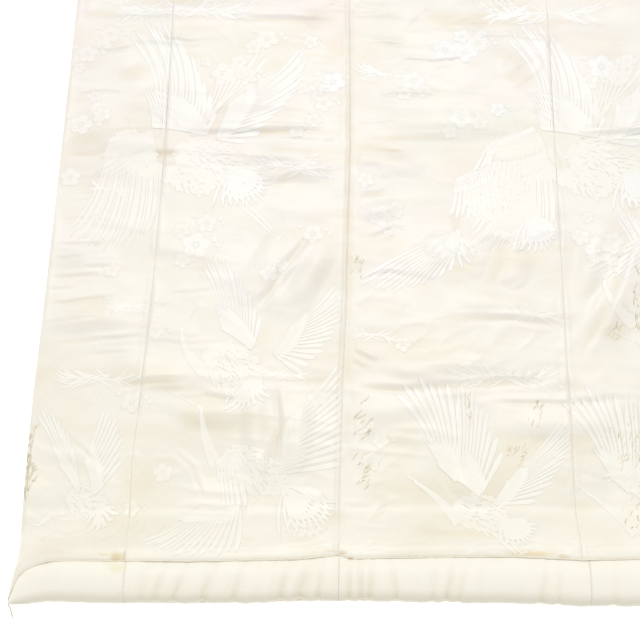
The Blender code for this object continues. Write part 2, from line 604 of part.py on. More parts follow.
def collar_half(name, side):
    """Half of the neck band, from the centre back round the neck and down below the back on one side."""
    half, h = collar_centre(np.linspace(0.03, 1.0, 22))
    x = np.concatenate([-half, half[-2::-1]])
    h = np.concatenate([h, h[-2::-1]])
    for _ in range(4):
        x[1:-1] = (x[:-2] + 2 * x[1:-1] + x[2:]) / 4
        h[1:-1] = (h[:-2] + 2 * h[1:-1] + h[2:]) / 4
    run_x, run_h = np.gradient(x), np.gradient(h)
    long = np.hypot(run_x, run_h)
    across = np.array([-1.0, -0.94, -0.5, 0.0, 0.5, 0.94, 1.0])
    # The band is narrower on the inside of its tight bend.
    inner_room = np.minimum(1.0, np.abs(x) / 0.030 + 0.42)
    reach = COLLAR_WIDTH / 2 * np.where(across[None, :] < 0, inner_room[:, None], 1.0)
    grid_x = x[:, None] - (run_h / long)[:, None] * across[None, :] * reach
    grid_h = h[:, None] + (run_x / long)[:, None] * across[None, :] * reach
    grid_h += (COLLAR_TOP_H - grid_h.max()) * smooth_step((grid_h - 1.70) / 0.15)
    limit = from_table(COLLAR_LINE, "h", "half", grid_h) - COLLAR_CLEARANCE
    beside_front = (grid_h < BODY_LENGTH + 0.006) & (np.abs(grid_x) > limit)
    grid_x = np.where(beside_front, np.sign(grid_x) * limit, grid_x)
    rows = (len(x) + 1) // 2
    grid_x, grid_h = -side * grid_x[:rows], grid_h[:rows]
    grid_x[-1] = side * SEAM_GAP / 2
    under = np.zeros_like(grid_x)
    over = under + COLLAR_THICKNESS * np.where(np.abs(across) == 1.0, 0.6, 1.0)[None, :]
    over = over + 0.0016 * smooth_step((grid_h - 1.878) / 0.02) * (np.abs(across) < 0.9)[None, :]
    return wall(name, grid_x, grid_h, under, over)


def corner_thread(name):
    """The loose thread that hangs from the left hem corner and ends in a small tuft."""
    route = np.array([(-0.7526, -0.0684, 0.0027), (-0.7525, -0.0704, 0.0016), (-0.7506, -0.0735, 0.0009),
                      (-0.7480, -0.0790, 0.0009), (-0.7466, -0.0838, 0.0010), (-0.7462, TAIL_END_H, 0.0006)])
    thick = np.array([0.6, 0.8, 1.0, 1.2, 2.2, 1.0]) * TAIL_THICKNESS / 2
    angles = np.radians([0, 60, 120, 180, 240, 300])
    points, faces = [], []
    for (x, h, z), radius in zip(route, thick):
        for angle in angles:
            points.append((x + radius * math.cos(angle), h + HEM_Y, max(0.0, z + radius * math.sin(angle))))
    sides = len(angles)
    for row in range(len(route) - 1):
        for k in range(sides):
            a, b = row * sides + k, row * sides + (k + 1) % sides
            faces.append((a, b, b + sides, a + sides))
    faces.append(tuple(reversed(range(sides))))
    faces.append(tuple(range(len(points) - sides, len(points))))
    return add_mesh(name, points, faces, "thread")


def main():
    clear_scene()
    gap = SEAM_GAP / 2
    seams = (gap, side_half(0.0), overlap_half(0.0), PLAN["edge"][0])
    for word, side in (("left", -1), ("right", 1)):
        back_panel("back_" + word, side)
        front_panel("front_" + word, side)
        overlap_panel("overlap_" + word, side)
        sleeve("sleeve_" + word, side)
        collar_half("collar_" + word, side)
        for part, start, end in zip(("back", "front", "overlap"), seams, seams[1:]):
            first = start + gap if part != "back" else side * ROLL_SEAM_SHIFT + gap
            roll_piece("hem_roll_" + part + "_" + word, side * first, side * (end - gap))
    corner_thread("corner_thread")


main()
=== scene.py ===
import math

import bpy
import numpy as np
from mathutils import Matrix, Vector


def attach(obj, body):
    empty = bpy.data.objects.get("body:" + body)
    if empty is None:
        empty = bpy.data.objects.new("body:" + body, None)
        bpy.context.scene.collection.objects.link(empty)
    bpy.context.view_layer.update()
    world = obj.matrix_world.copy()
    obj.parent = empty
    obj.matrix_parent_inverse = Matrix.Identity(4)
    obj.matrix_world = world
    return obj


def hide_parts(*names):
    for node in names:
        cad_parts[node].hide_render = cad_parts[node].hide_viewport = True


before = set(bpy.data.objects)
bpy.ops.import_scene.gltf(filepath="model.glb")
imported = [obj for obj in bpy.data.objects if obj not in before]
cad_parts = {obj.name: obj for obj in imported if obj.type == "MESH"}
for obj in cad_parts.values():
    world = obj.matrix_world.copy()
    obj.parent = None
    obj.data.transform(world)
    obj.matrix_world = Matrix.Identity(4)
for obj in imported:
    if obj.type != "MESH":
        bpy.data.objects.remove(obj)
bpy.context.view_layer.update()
print("frame loaded:", len(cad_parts), "solids")

# An uchikake lying open and flat, outside up, hem towards -Y. Heights above the cloth's hem edge are
# called h, and y = h + hemY. Half widths are measured from the centre back seam.
hemY = -0.9185
millimetres = 1000  # in a metre
bodyLength = 1.88
shoulderHalf = 0.335
sideSeamTop = 1.5
foldLow = 0.96  # below this height the fronts are spread out, above it they are folded under
foldTop = 1.66
hemZone = 0.2  # below this height the rows of a panel follow the curved hem


def metres(value):  # turns millimetres into metres, also within tuples and dictionaries
    if isinstance(value, dict):
        return {key: metres(part) for key, part in value.items()}
    return tuple(metres(part) for part in value) if isinstance(value, tuple) else value / millimetres


plan = metres({  # half widths of side seam, overlap seam and front edge by height
    "h": (-65, -42, -20, 0, 35, 130, 220, 360, 600, 880, 1300, 1500),
    "side": (317, 317, 317, 317, 317, 316.5, 315.5, 311, 308, 311.5, 316, 318),
    "overlap": (596, 596, 596, 596, 600, 604, 598.5, 593.5, 590, 592.5, 595, 595),
    "edge": (753, 747.5, 743, 743, 745.5, 749.6, 750.3, 749, 748, 748, 748, 748),
})
hemLine = metres({  # the cloth's hem edge by distance from the centre back
    "x": (0, 30, 90, 170, 260, 298, 310, 317, 329, 369, 500, 650, 695, 710, 728, 739, 744, 748, 753),
    "h": (-2, -1, 1, -1, -3.5, -5, -3, 0, -2, -7, -12, -13.5, -14.5, -18, -24.5, -32, -40, -50, -64),
})
rollLine = metres({  # the padded hem by distance from the centre back
    "x": (0, 100, 240, 320, 370, 500, 600, 680, 700, 715, 730, 742, 749, 753),
    "outer": (-61, -58.5, -59.8, -60.2, -62, -67, -68, -65.5, -66.8, -68, -69.5, -70, -69.5, -67.5),
    "height": (35.5, 36.5, 36, 35, 37, 37.5, 38, 37, 34.5, 30.5, 24.5, 17, 10, 6),
})
collarLine = metres({  # half width of the front's inner edge by height
    "h": (1470, 1510, 1550, 1600, 1660, 1740, 1810, 1880),
    "half": (317, 262, 214, 166, 128, 104, 96, 90),
})

lay = {  # how the layers of cloth lie
    "cloth": 0.0028, "skin": 0.002, "seamGap": 0.0003, "seamShown": 0.00006, "layerGap": 0.0005,
    "rampLength": 0.075, "rollInset": 0.006, "foldExtra": 0.0034, "foldBand": 0.11,
    "backLift": 0.0044, "backLiftH": 1.36, "rollSeamShift": 0.0085,
}

# Broad soft ridges, in millimetres: ends (x, h), half width, height
ridges = metres((
    ((-745, 858), (-330, 853), 26, 5.5), ((-740, 820), (-420, 822), 24, 4), ((-735, 618), (-560, 616), 24, 4.5),
    ((-580, 655), (-322, 664), 26, 6), ((-545, 610), (-330, 616), 24, 4.5), ((-460, 556), (-322, 594), 22, 5.5),
    ((-386, 480), (-466, 350), 28, 7), ((-336, 470), (-408, 330), 26, 6.5), ((-742, 420), (-640, 426), 22, 4.5),
    ((-744, 328), (-600, 334), 26, 5.5), ((-660, 262), (-480, 258), 26, 5.5),
    ((-560, 196), (-440, 190), 24, 4.5), ((-438, 240), (-440, 84), 24, 6.5), ((-382, 236), (-386, 96), 26, 7.5),
    ((-302, 654), (-20, 652), 26, 6.5), ((-302, 590), (-190, 588), 22, 4.5),
    ((-300, 508), (-225, 512), 22, 4.5), ((-172, 364), (10, 354), 24, 5.5), ((-302, 262), (-20, 274), 27, 8),
    ((-302, 206), (-176, 204), 24, 5), ((-130, 188), (100, 196), 22, 5), ((-178, 120), (-98, 70), 22, 4.5),
    ((20, 652), (292, 662), 28, 6.5), ((158, 510), (36, 286), 34, 9), ((90, 500), (4, 346), 28, 6),
    ((60, 262), (296, 272), 30, 7.5), ((190, 150), (256, 92), 24, 5), ((330, 862), (740, 840), 30, 6),
    ((345, 700), (560, 716), 32, 6.5), ((450, 540), (384, 392), 32, 7.5), ((620, 566), (742, 552), 26, 5),
    ((360, 292), (585, 272), 30, 6.5), ((615, 206), (738, 192), 26, 5), ((446, 192), (466, 92), 26, 6.5),
    ((-290, 1030), (-40, 1044), 36, 8), ((30, 1060), (295, 1036), 36, 7.5), ((-250, 1262), (-30, 1236), 36, 7),
    ((60, 1250), (280, 1268), 34, 6.5), ((-290, 1500), (-120, 1560), 36, 5.5),
    ((110, 1570), (290, 1500), 36, 5.5), ((-250, 1720), (-80, 1745), 32, 4.5),
    ((80, 1740), (250, 1715), 32, 4.5),
))
sleeveRidges = metres((
    ((350, 1600), (560, 1570), 34, 6), ((420, 1372), (660, 1392), 36, 6.5), ((345, 1190), (560, 1160), 34, 6),
    ((470, 1020), (665, 1040), 30, 5),
))

# Sharp creases, in millimetres: half width, depth and the points (x, h) they run through
creases = metres((
    (4.5, 2.3, ((-745, 838), (-533, 843), (-324, 837))), (4.5, 2, ((-175, 836), (-30, 840), (110, 834))),
    (3, 1, ((-735, 866), (-560, 872))), (3, 1.2, ((-470, 815), (-345, 806))),
    (4, 1.9, ((-736, 600), (-684, 600))), (4, 1.9, ((-612, 599), (-566, 600))),
    (3, 1, ((-700, 640), (-600, 646))), (4.8, 2.5, ((-583, 634), (-446, 635), (-317, 645))),
    (4.5, 2.2, ((-438, 534), (-398, 564), (-316, 571))), (5.2, 3, ((-360, 476), (-402, 419), (-438, 353))),
    (2.8, 1.2, ((-743, 448), (-650, 453))), (2.6, 1.1, ((-744, 426), (-690, 431))),
    (3, 1.4, ((-745, 395), (-668, 401))), (2.6, 1, ((-746, 376), (-700, 381))),
    (3, 1.4, ((-744, 353), (-640, 369))), (2.6, 1.1, ((-747, 325), (-660, 336))),
    (3.2, 1.5, ((-748, 297), (-680, 300), (-590, 309))), (2.6, 1, ((-700, 412), (-628, 417))),
    (2.6, 0.9, ((-690, 280), (-612, 284))), (2.8, 1, ((-575, 372), (-500, 380))),
    (2.8, 1, ((-586, 300), (-530, 296), (-482, 302))), (4.2, 2, ((-645, 233), (-585, 240), (-528, 243))),
    (4, 1.8, ((-517, 221), (-460, 213))), (4.6, 3, ((-412, 248), (-402, 172), (-414, 130), (-414, 70))),
    (3.6, 1.4, ((-438, 104), (-452, 45))), (3, 1.2, ((-560, 150), (-520, 118), (-500, 70))),
    (2.8, 1, ((-700, 170), (-652, 120))), (2.8, 1, ((-690, 46), (-610, 52))),
    (5, 3.1, ((-315, 235), (-221, 232), (-137, 241), (-10, 249))),
    (4, 2.2, ((-126, 215), (-14, 215), (99, 226))), (4.5, 2.3, ((-180, 340), (-78, 339), (10, 330))),
    (3.6, 1.8, ((-304, 291), (-266, 271))), (3, 1.4, ((-304, 276), (-282, 262))),
    (4.6, 2.3, ((-296, 629), (-143, 631))), (3.4, 1.5, ((-281, 609), (-222, 609))),
    (3, 1, ((-120, 640), (-20, 636))), (6.6, 3.6, ((120, 497), (87, 429), (52, 339), (6, 278))),
    (3.4, 1.8, ((-251, 71), (-278, 48))), (4, -1.4, ((-219, 104), (-169, 58), (-98, 36))),
    (3.4, 1.6, ((-145, 234), (-147, 172))), (3.4, 1.4, ((-294, 535), (-252, 540))),
    (3.4, 1.6, ((-280, 463), (-238, 482))), (3.4, 1.8, ((-4, 630), (10, 578))),
    (15, 2.2, ((-81, 468), (-106, 378))), (12, 1.6, ((-230, 395), (-180, 388))),
    (3.4, 1.4, ((-300, 800), (-210, 792))), (3, 1.2, ((-300, 742), (-240, 748))),
    (2.6, 1.2, ((-108, 262), (-96, 246))), (2.4, 1.2, ((-92, 264), (-86, 247))),
    (2.4, 1.2, ((-74, 265), (-76, 248))), (2.4, 1.2, ((-56, 264), (-64, 247))),
    (2.6, 1.1, ((-36, 262), (-52, 247))), (3, 1.2, ((-298, 40), (-240, 34))),
    (2.8, 1.1, ((-200, 30), (-120, 34))), (2.8, 1.2, ((-398, 34), (-330, 38))),
    (2.4, 1.2, ((-405, 4), (-352, 13), (-320, 26))), (2.4, 1, ((-386, 20), (-350, 26), (-326, 40))),
    (2.6, 1.2, ((-744, 22), (-705, 12), (-650, 20))), (2.8, 1.3, ((-736, 52), (-690, 40), (-640, 46))),
    (2.6, 1, ((-700, 12), (-668, 30), (-655, 50))), (2.4, 1, ((-590, 10), (-560, 24), (-545, 50))),
    (2.4, 0.9, ((-560, 4), (-520, 20), (-500, 34))), (2.4, 0.9, ((-470, 16), (-430, 10), (-400, 20))),
    (2.4, 1, ((-300, 18), (-250, 12), (-190, 18))), (2.4, 0.9, ((-160, 12), (-110, 18), (-60, 12))),
    (2.8, 1.2, ((-200, 118), (-170, 80), (-120, 58))), (2.8, 1.1, ((-745, 486), (-700, 494), (-650, 488))),
    (2.8, 1.1, ((-740, 520), (-690, 526), (-640, 518))), (3, 1.3, ((-740, 790), (-690, 780), (-640, 792))),
    (3, 1.3, ((-420, 770), (-370, 778), (-325, 768))), (3, 1.2, ((-400, 745), (-360, 752), (-330, 744))),
    (3, 1.2, ((-400, 700), (-360, 708), (-322, 702))), (2.8, 1.2, ((-540, 836), (-500, 800), (-490, 772))),
    (3, 1.4, ((-745, 700), (-690, 708), (-650, 702))), (2.8, 1.3, ((-748, 555), (-700, 562), (-655, 556))),
    (3, 1.4, ((-620, 806), (-560, 798), (-520, 806))), (3, 1.3, ((-470, 726), (-410, 732), (-360, 724))),
    (3, 1.3, ((-280, 700), (-230, 708), (-170, 702))), (3, 1.3, ((-240, 770), (-180, 762), (-120, 770))),
    (3, 1.4, ((-120, 806), (-60, 812), (0, 804))), (3, 1.3, ((-200, 560), (-150, 552), (-90, 560))),
    (3, 1.3, ((-290, 400), (-250, 410), (-215, 402))), (2.8, 1.2, ((-700, 230), (-660, 236))),
    (3, 1.5, ((30, 560), (70, 540), (120, 545))), (3, 1.5, ((20, 420), (60, 440), (110, 432))),
    (3, 1.5, ((30, 180), (70, 172), (120, 180))), (2.6, 1.4, ((10, 120), (50, 108), (100, 114))),
    (2.4, 1.2, ((-728, 4), (-700, 20), (-690, 40))), (2.4, 1.2, ((-720, 30), (-676, 24), (-640, 34))),
    (2.4, 1.1, ((-640, 10), (-618, 20), (-606, 40))), (2.4, 1.1, ((-600, 14), (-580, 30), (-575, 50))),
    (2.4, 1.1, ((-540, 6), (-500, 12), (-450, 6))), (2.4, 1.2, ((-300, 6), (-270, 14), (-262, 30))),
    (2.4, 1.1, ((-90, 10), (-60, 22), (-30, 16))), (2.4, 1.1, ((-28, 26), (0, 14), (40, 18))),
    (4.8, 2.5, ((10, 632), (160, 640), (300, 634))), (4.6, 2.4, ((320, 836), (520, 842), (740, 826))),
    (4.6, 2.2, ((330, 610), (480, 604))), (4.6, 2.5, ((100, 245), (200, 240), (300, 248))),
    (4.8, 2.7, ((418, 520), (380, 420))), (4, 1.8, ((520, 380), (600, 374), (740, 384))),
    (4.4, 2.2, ((330, 250), (460, 240), (590, 246))), (3.4, 1.5, ((610, 170), (740, 160))),
    (4.6, 2.4, ((-300, 1075), (-160, 1082), (-20, 1070))), (4.6, 2.4, ((20, 1096), (180, 1088), (300, 1076))),
    (4.6, 2.2, ((-280, 1290), (-100, 1282))), (4.6, 2.2, ((60, 1300), (280, 1306))),
    (4.4, 2, ((-310, 1450), (-150, 1520))), (4.4, 2, ((140, 1528), (310, 1456))),
))
sleeveCreases = metres((
    (4.6, 2.2, ((345, 1640), (480, 1622), (600, 1626))), (4.6, 2.4, ((400, 1330), (530, 1342), (670, 1338))),
    (4.4, 2, ((340, 1120), (470, 1128))), (4.4, 2, ((500, 985), (668, 1000))),
    (4, 1.8, ((350, 1780), (420, 1700))),
))


def smoothStep(value):
    t = np.clip(value, 0.0, 1.0)
    return t * t * (3.0 - 2.0 * t)


def fromTable(tableOf, key, column, at):
    return np.interp(at, tableOf[key], tableOf[column])


def sideHalf(h):
    return fromTable(plan, "h", "side", h)


def overlapHalf(h):
    return fromTable(plan, "h", "overlap", h)


def edgeHalf(h):
    return fromTable(plan, "h", "edge", h)


def hemHeight(x):
    return fromTable(hemLine, "x", "h", np.abs(x))


def foldLineHalf(h):  # the line along which a front is folded under, straight from the front edge to the sleeve
    share = (foldTop - h) / (foldTop - foldLow)
    return shoulderHalf + (edgeHalf(foldLow) - shoulderHalf) * share


def backHalf(h):  # the side seam, then the sleeve seam
    share = (h - sideSeamTop) / (bodyLength - sideSeamTop)
    upper = sideHalf(sideSeamTop) + (shoulderHalf - sideHalf(sideSeamTop)) * share
    return np.where(h < sideSeamTop, sideHalf(h), upper)


# Value noise from -1 to 1: random numbers on whole-number points, joined smoothly in both directions.
def cloudNoise(u, v, seed):
    u0, v0 = np.floor(u), np.floor(v)
    fu, fv = smoothStep(u - u0), smoothStep(v - v0)

    def corner(i, j):
        wave = np.sin((u0 + i) * 127.1 + (v0 + j) * 311.7 + seed * 74.7) * 43758.5453
        return (wave - np.floor(wave)) * 2.0 - 1.0

    low = corner(0, 0) * (1 - fu) + corner(1, 0) * fu
    high = corner(0, 1) * (1 - fu) + corner(1, 1) * fu
    return low * (1 - fv) + high * fv


# A soft ridge: a bell across its line, (1 - (d / width)^2)^2, that dies away towards both ends.
def ridgeHeights(x, h, listed):
    total = np.zeros_like(x)
    x, h = x + 0.014 * cloudNoise(x / 0.06, h / 0.05, 41), h + 0.01 * cloudNoise(x / 0.07, h / 0.06, 42)
    for start, end, width, height in listed:
        dx, dh = end[0] - start[0], end[1] - start[1]
        long = math.hypot(dx, dh)
        along = ((x - start[0]) * dx + (h - start[1]) * dh) / long
        across = ((h - start[1]) * dx - (x - start[0]) * dh) / long
        ends = smoothStep(along / (0.4 * long)) * smoothStep((long - along) / (0.4 * long))
        total += 0.72 * height * np.clip(1.0 - (across / (1.15 * width)) ** 2, 0.0, 1.0) ** 2 * ends
    return total


# A sharp crease: the nearest point of a line through its points gives a distance d. Across it the cloth
# sinks as exp(-(d / width)^2) and rises in a lip at 2.3 widths, higher on one side than the other.
def creaseHeights(x, h, listed):
    total = np.zeros_like(x)
    for width, depth, points in listed:
        width, depth = 0.8 * width, 1.25 * depth
        xs, hs = [p[0] for p in points], [p[1] for p in points]
        reach = 6 * width
        near = (x > min(xs) - reach) & (x < max(xs) + reach) & (h > min(hs) - reach) & (h < max(hs) + reach)
        if not near.any():
            continue
        px, ph = x[near], h[near]
        nearest = np.full_like(px, 1e9)
        signed = np.zeros_like(px)
        travelled = np.zeros_like(px)
        before = 0.0
        for (x0, h0), (x1, h1) in zip(points, points[1:]):
            dx, dh = x1 - x0, h1 - h0
            long = math.hypot(dx, dh)
            t = np.clip(((px - x0) * dx + (ph - h0) * dh) / long**2, 0.0, 1.0)
            away = np.hypot(px - x0 - t * dx, ph - h0 - t * dh)
            closer = away < nearest
            turn = np.sign((ph - h0) * dx - (px - x0) * dh)
            nearest = np.where(closer, away, nearest)
            signed = np.where(closer, turn * away, signed)
            travelled = np.where(closer, before + t * long, travelled)
            before += long
        wander = 0.35 * cloudNoise(px / 0.03, ph / 0.03, 11)
        d = signed / width + wander
        ends = smoothStep(travelled / (0.3 * before)) * smoothStep((before - travelled) / (0.3 * before))
        lip = 0.62 * np.exp(-((d - 2.3) / 1.5) ** 2) + 0.28 * np.exp(-((d + 2.3) / 1.6) ** 2)
        total[near] += depth * (lip - np.exp(-d**2)) * ends * (0.8 + 0.4 * wander)
    return total


wrinkles = {  # (spacing along x, spacing along h, height) of each size of unevenness
    "broad": (0.15, 0.095, 0.0015),
    "middle": (0.07, 0.04, 0.00125),
    "cross": (0.1, 0.019, 0.00105),
    "fine": (0.045, 0.009, 0.0003),
    "slant": (0.06, 0.024, 0.0008),
}


shadeAndAgePlaces = (  # golden patches, some of old silk and some painted shade of folds and beside the side seams: place (x, h), size (x, h) in millimetres, strength
    ((-714, 849), (32, 9), 0.5), ((-374, 835), (54, 20), 0.5), ((-645, 742), (27, 16), 0.6),
    ((-336, 780), (20, 40), 0.5), ((-408, 640), (76, 6), 0.55), ((-400, 608), (64, 6), 0.5),
    ((-710, 605), (29, 9), 0.55), ((-589, 601), (23, 7), 0.75), ((-366, 467), (38, 19), 0.4),
    ((-558, 232), (42, 6), 0.55), ((-482, 178), (76, 19), 0.4), ((-637, 55), (35, 22), 0.4),
    ((-146, 840), (63, 24), 0.65), ((-48, 741), (28, 36), 0.55), ((-278, 535), (24, 5), 0.65),
    ((-245, 609), (30, 4), 0.55), ((-152, 491), (10, 42), 0.6), ((-144, 420), (35, 19), 0.55),
    ((108, 521), (13, 36), 0.55), ((-57, 431), (35, 25), 0.55), ((77, 768), (31, 18), 0.4),
    ((-202, 704), (31, 14), 0.4), ((-754, 683), (12, 53), 0.35), ((-235, 160), (30, 28), 0.35),
    ((63, 324), (31, 18), 0.45), ((-19, 108), (40, 11), 0.35), ((-308, 620), (8, 480), 0.6),
    ((-323, 760), (4, 160), 0.4), ((308, 620), (8, 480), 0.6),
)


# How much golden tone a point gets, 0 to 1, for aged silk and for painted shade of folds and beside the side
# seams: each patch is full at its middle and fades towards its rim, the rim warped by cloud noise. Small noise
# patches are added everywhere.
def shadeAndAgeShare(x, h):
    wander = 0.34 * cloudNoise(x / 0.022, h / 0.016, 51)
    total = 0.3 * smoothStep((cloudNoise(x / 0.085, h / 0.05, 61) - 0.25) / 0.5)
    total += 0.22 * smoothStep((cloudNoise(x / 0.04, h / 0.018, 62) - 0.25) / 0.6)
    for at, size, strength in shadeAndAgePlaces:
        (x0, h0), (wide, tall) = metres((at, size))
        r = np.hypot((x - x0) / wide, (h - h0) / tall) + wander
        total += strength * (1.0 - smoothStep((r - 0.15) / 1.0))
    return np.clip(total, 0.0, 1.0)


# Unevenness of cloth that has been folded and laid out: broad and middling cloud noise, crisp cross wrinkles
# (1 - |noise|)^3 where a mask allows them, slanted ones, and a fine ripple.
def looseHeights(x, h):
    def noise(name, seed, shear=0.0):
        sx, sh, _ = wrinkles[name]
        return cloudNoise((x + shear * h) / sx, (h + 0.08 * x) / sh, seed)

    mask = smoothStep(0.5 + 0.9 * cloudNoise(x / 0.19, h / 0.11, 5))
    other = smoothStep(0.5 + 0.9 * cloudNoise(x / 0.15, h / 0.13, 8))
    total = wrinkles["broad"][2] * noise("broad", 1) + wrinkles["middle"][2] * noise("middle", 2)
    total += wrinkles["cross"][2] * ((1.0 - np.abs(noise("cross", 3))) ** 3 - 0.3) * mask
    slant = cloudNoise((x * 0.8 + h * 0.6) / wrinkles["slant"][0], (h * 0.8 - x * 0.6) / wrinkles["slant"][1], 7)
    total += wrinkles["slant"][2] * ((1.0 - np.abs(slant)) ** 3 - 0.3) * other
    total += wrinkles["fine"][2] * noise("fine", 4)
    return total * (1.0 + 0.45 * smoothStep((h - 0.45) / 0.3))


def rollOuter(x):
    return fromTable(rollLine, "x", "outer", np.abs(x))


def rollHeight(x):
    return fromTable(rollLine, "x", "height", np.abs(x))


def rollTopAtHem(x):  # height of the padded hem where the cloth's edge lies on it
    inner = hemHeight(x) + lay["rollInset"]
    centre, half = (inner + rollOuter(x)) / 2, (inner - rollOuter(x)) / 2
    share = np.clip((hemHeight(x) - centre) / half, -1.0, 1.0)
    return rollHeight(x) * (0.45 + 0.55 * np.sqrt(1.0 - share**2))


# Height of the spread cloth's underside: a smooth climb onto the padded hem, and the soft ridges.
def clothUnder(x, h):
    edge = rollTopAtHem(x) + lay["layerGap"] + 0.0006
    climb = edge * (1.0 - smoothStep((h - hemHeight(x)) / lay["rampLength"]))
    flat = 1.0 - smoothStep((hemHeight(x) + lay["rampLength"] - h) / 0.02)
    return climb + ridgeHeights(x, h, ridges) * flat


def backLift(h):
    return lay["backLift"] * smoothStep((h - lay["backLiftH"]) / 0.08)


edgeRelief = {  # beside an edge: which edge, distance from it, half width, height of a bell
    "seam": (("inner", 0.0, 0.0007, -0.00014), ("outer", 0.0, 0.0007, -0.00014)),
    "front": (("inner", 0.004, 0.0028, 0.0016), ("inner", 0.0082, 0.0012, -0.0005),
              ("outer", 0.0045, 0.0035, 0.0006)),
    "back": (("outer", 0.008, 0.0055, -0.0009), ("inner", 0.004, 0.003, 0.0006)),
    "overlap": (("inner", 0.004, 0.003, 0.0006), ("outer", 0.005, 0.004, 0.0005)),
    "hem": (("hem", 0.0085, 0.0011, -0.0005), ("hem", 0.0112, 0.001, -0.0004)),
}


# Height added near a panel's two sewn edges and its hem: bells height * exp(-((d - at) / width)^2) over the
# distance d from each. A plain seam is a narrow dip. At the side seam the front's edge stands up as a lip and
# the back's edge lies in a shallow trough.
def sewnEdges(kind, innerD, outerD, hemD):
    away = {"inner": innerD, "outer": outerD, "hem": hemD}

    def relief(listed):
        return sum(height * np.exp(-(((away[edge] - at) / width) ** 2)) for edge, at, width, height in listed)

    return relief(edgeRelief["seam"]) + relief(edgeRelief[kind]) + relief(edgeRelief["hem"])


# Positions from 0 to length: close together near both ends, then about spacing apart.
def closeToEnds(length, spacing, ends):
    first = np.array([d for d in ends if d < length * 0.4])
    count = max(2, int(round((length - 2 * first[-1]) / spacing)))
    middle = np.linspace(first[-1], length - first[-1], count + 1)
    return np.concatenate([first[:-1], middle, (length - first[:-1])[::-1]])


mesh = {  # spacing of the cloth meshes, in metres
    "seen": 0.0028, "side": 0.0062, "upper": 0.0095, "underStep": 4,
    "seamEnds": (0.0, 0.0007, 0.0014, 0.0023, 0.0035, 0.005, 0.007),
    "seenTop": 0.905,
}


def rowsFor(top, spacing):
    fine = np.arange(0.018, min(top, mesh["seenTop"]), spacing)
    hem = np.array([0.0, 0.0008, 0.0018, 0.0032, 0.0052, 0.007, 0.0082, 0.0092, 0.0104, 0.0116, 0.013, 0.0152])
    upper = np.linspace(fine[-1], top, max(3, int((top - fine[-1]) / mesh["upper"])))[1:]
    return np.concatenate([hem, fine, upper])


# One closed thin sheet over a grid. The top keeps every point, the underside every fourth, and each face of
# the rim joins one edge below to the finer edges above it.
def sheetMesh(name, x, h, top, under, materials, worn=None):
    rows, columns = x.shape
    y = h + hemY
    step = mesh["underStep"]
    keepR = np.unique(np.append(np.arange(0, rows, step), rows - 1))
    keepC = np.unique(np.append(np.arange(0, columns, step), columns - 1))
    pick = np.ix_(keepR, keepC)
    topPoints = np.stack([x, y, top], axis=-1).reshape(-1, 3)
    lowPoints = np.stack([x[pick], y[pick], under[pick]], axis=-1).reshape(-1, 3)
    index = np.arange(rows * columns).reshape(rows, columns)
    low = rows * columns + np.arange(len(keepR) * len(keepC)).reshape(len(keepR), len(keepC))
    turned = float((x[0, -1] - x[0, 0])) < 0
    quads = np.stack([index[:-1, :-1], index[:-1, 1:], index[1:, 1:], index[1:, :-1]], axis=-1).reshape(-1, 4)
    lowQuads = np.stack([low[:-1, :-1], low[1:, :-1], low[1:, 1:], low[:-1, 1:]], axis=-1).reshape(-1, 4)
    faces = quads.tolist() + lowQuads.tolist()
    sides = [(index[0], low[0], keepC), (index[:, -1], low[:, -1], keepR),
             (index[-1][::-1], low[-1][::-1], columns - 1 - keepC[::-1]),
             (index[::-1, 0], low[::-1, 0], rows - 1 - keepR[::-1])]
    for upper, lower, kept in sides:
        for k in range(len(kept) - 1):
            ring = upper[kept[k]:kept[k + 1] + 1][::-1].tolist() + [int(lower[k]), int(lower[k + 1])]
            faces.append(ring)
    if turned:
        faces = [face[::-1] for face in faces]
    data = bpy.data.meshes.new(name)
    data.from_pydata(np.concatenate([topPoints, lowPoints]), [], faces)
    for material in materials:
        data.materials.append(material)
    slots = np.zeros(len(faces), np.int32)
    slots[len(quads):len(quads) + len(lowQuads)] = len(materials) - 1
    data.polygons.foreach_set("material_index", slots)
    data.polygons.foreach_set("use_smooth", np.ones(len(faces), bool))
    layer = data.uv_layers.new(name="cloth")
    corners = np.empty(len(data.loops), np.int32)
    data.loops.foreach_get("vertex_index", corners)
    # point attributes of the top: worn is painted shade in the crease troughs and a painted highlight on their
    # lips; aged is golden tone for aged silk and painted shade
    if worn is not None:
        for title, share in (("worn", worn), ("aged", shadeAndAgeShare(x, h))):
            attribute = data.attributes.new(title, "FLOAT", "POINT")
            values = np.concatenate([share.ravel(), np.zeros(len(lowPoints))])
            attribute.data.foreach_set("value", values.astype(np.float32))
    plane = np.concatenate([topPoints, lowPoints])[:, :2]
    layer.data.foreach_set("uv", plane[corners].ravel().astype(np.float32))
    data.update()
    obj = bpy.data.objects.new(name, data)
    bpy.context.scene.collection.objects.link(obj)
    return obj


def clothName(node):  # back_left becomes backLeftCloth
    first, *rest = node.split("_")
    return first + "".join(part.capitalize() for part in rest) + ("" if first == "hem" else "Cloth")


def gridMesh(name, points, faces, materials, uv=None, tone=None, attribute="tone"):
    data = bpy.data.meshes.new(name)
    data.from_pydata(points, [], faces.tolist() if hasattr(faces, "tolist") else faces)
    for material in materials:
        data.materials.append(material)
    data.polygons.foreach_set("use_smooth", np.ones(len(data.polygons), bool))
    corners = np.empty(len(data.loops), np.int32)
    data.loops.foreach_get("vertex_index", corners)
    if uv is not None:
        layer = data.uv_layers.new(name="cloth")
        layer.data.foreach_set("uv", uv[corners].ravel().astype(np.float32))
    if tone is not None:
        layer = data.attributes.new(attribute, "FLOAT", "POINT")
        layer.data.foreach_set("value", tone.astype(np.float32))
    data.update()
    obj = bpy.data.objects.new(name, data)
    bpy.context.scene.collection.objects.link(obj)
    return obj


def nodesOf(name):
    material = bpy.data.materials.new(name)
    material.use_nodes = True
    tree = material.node_tree
    return material, tree, tree.nodes["Principled BSDF"]


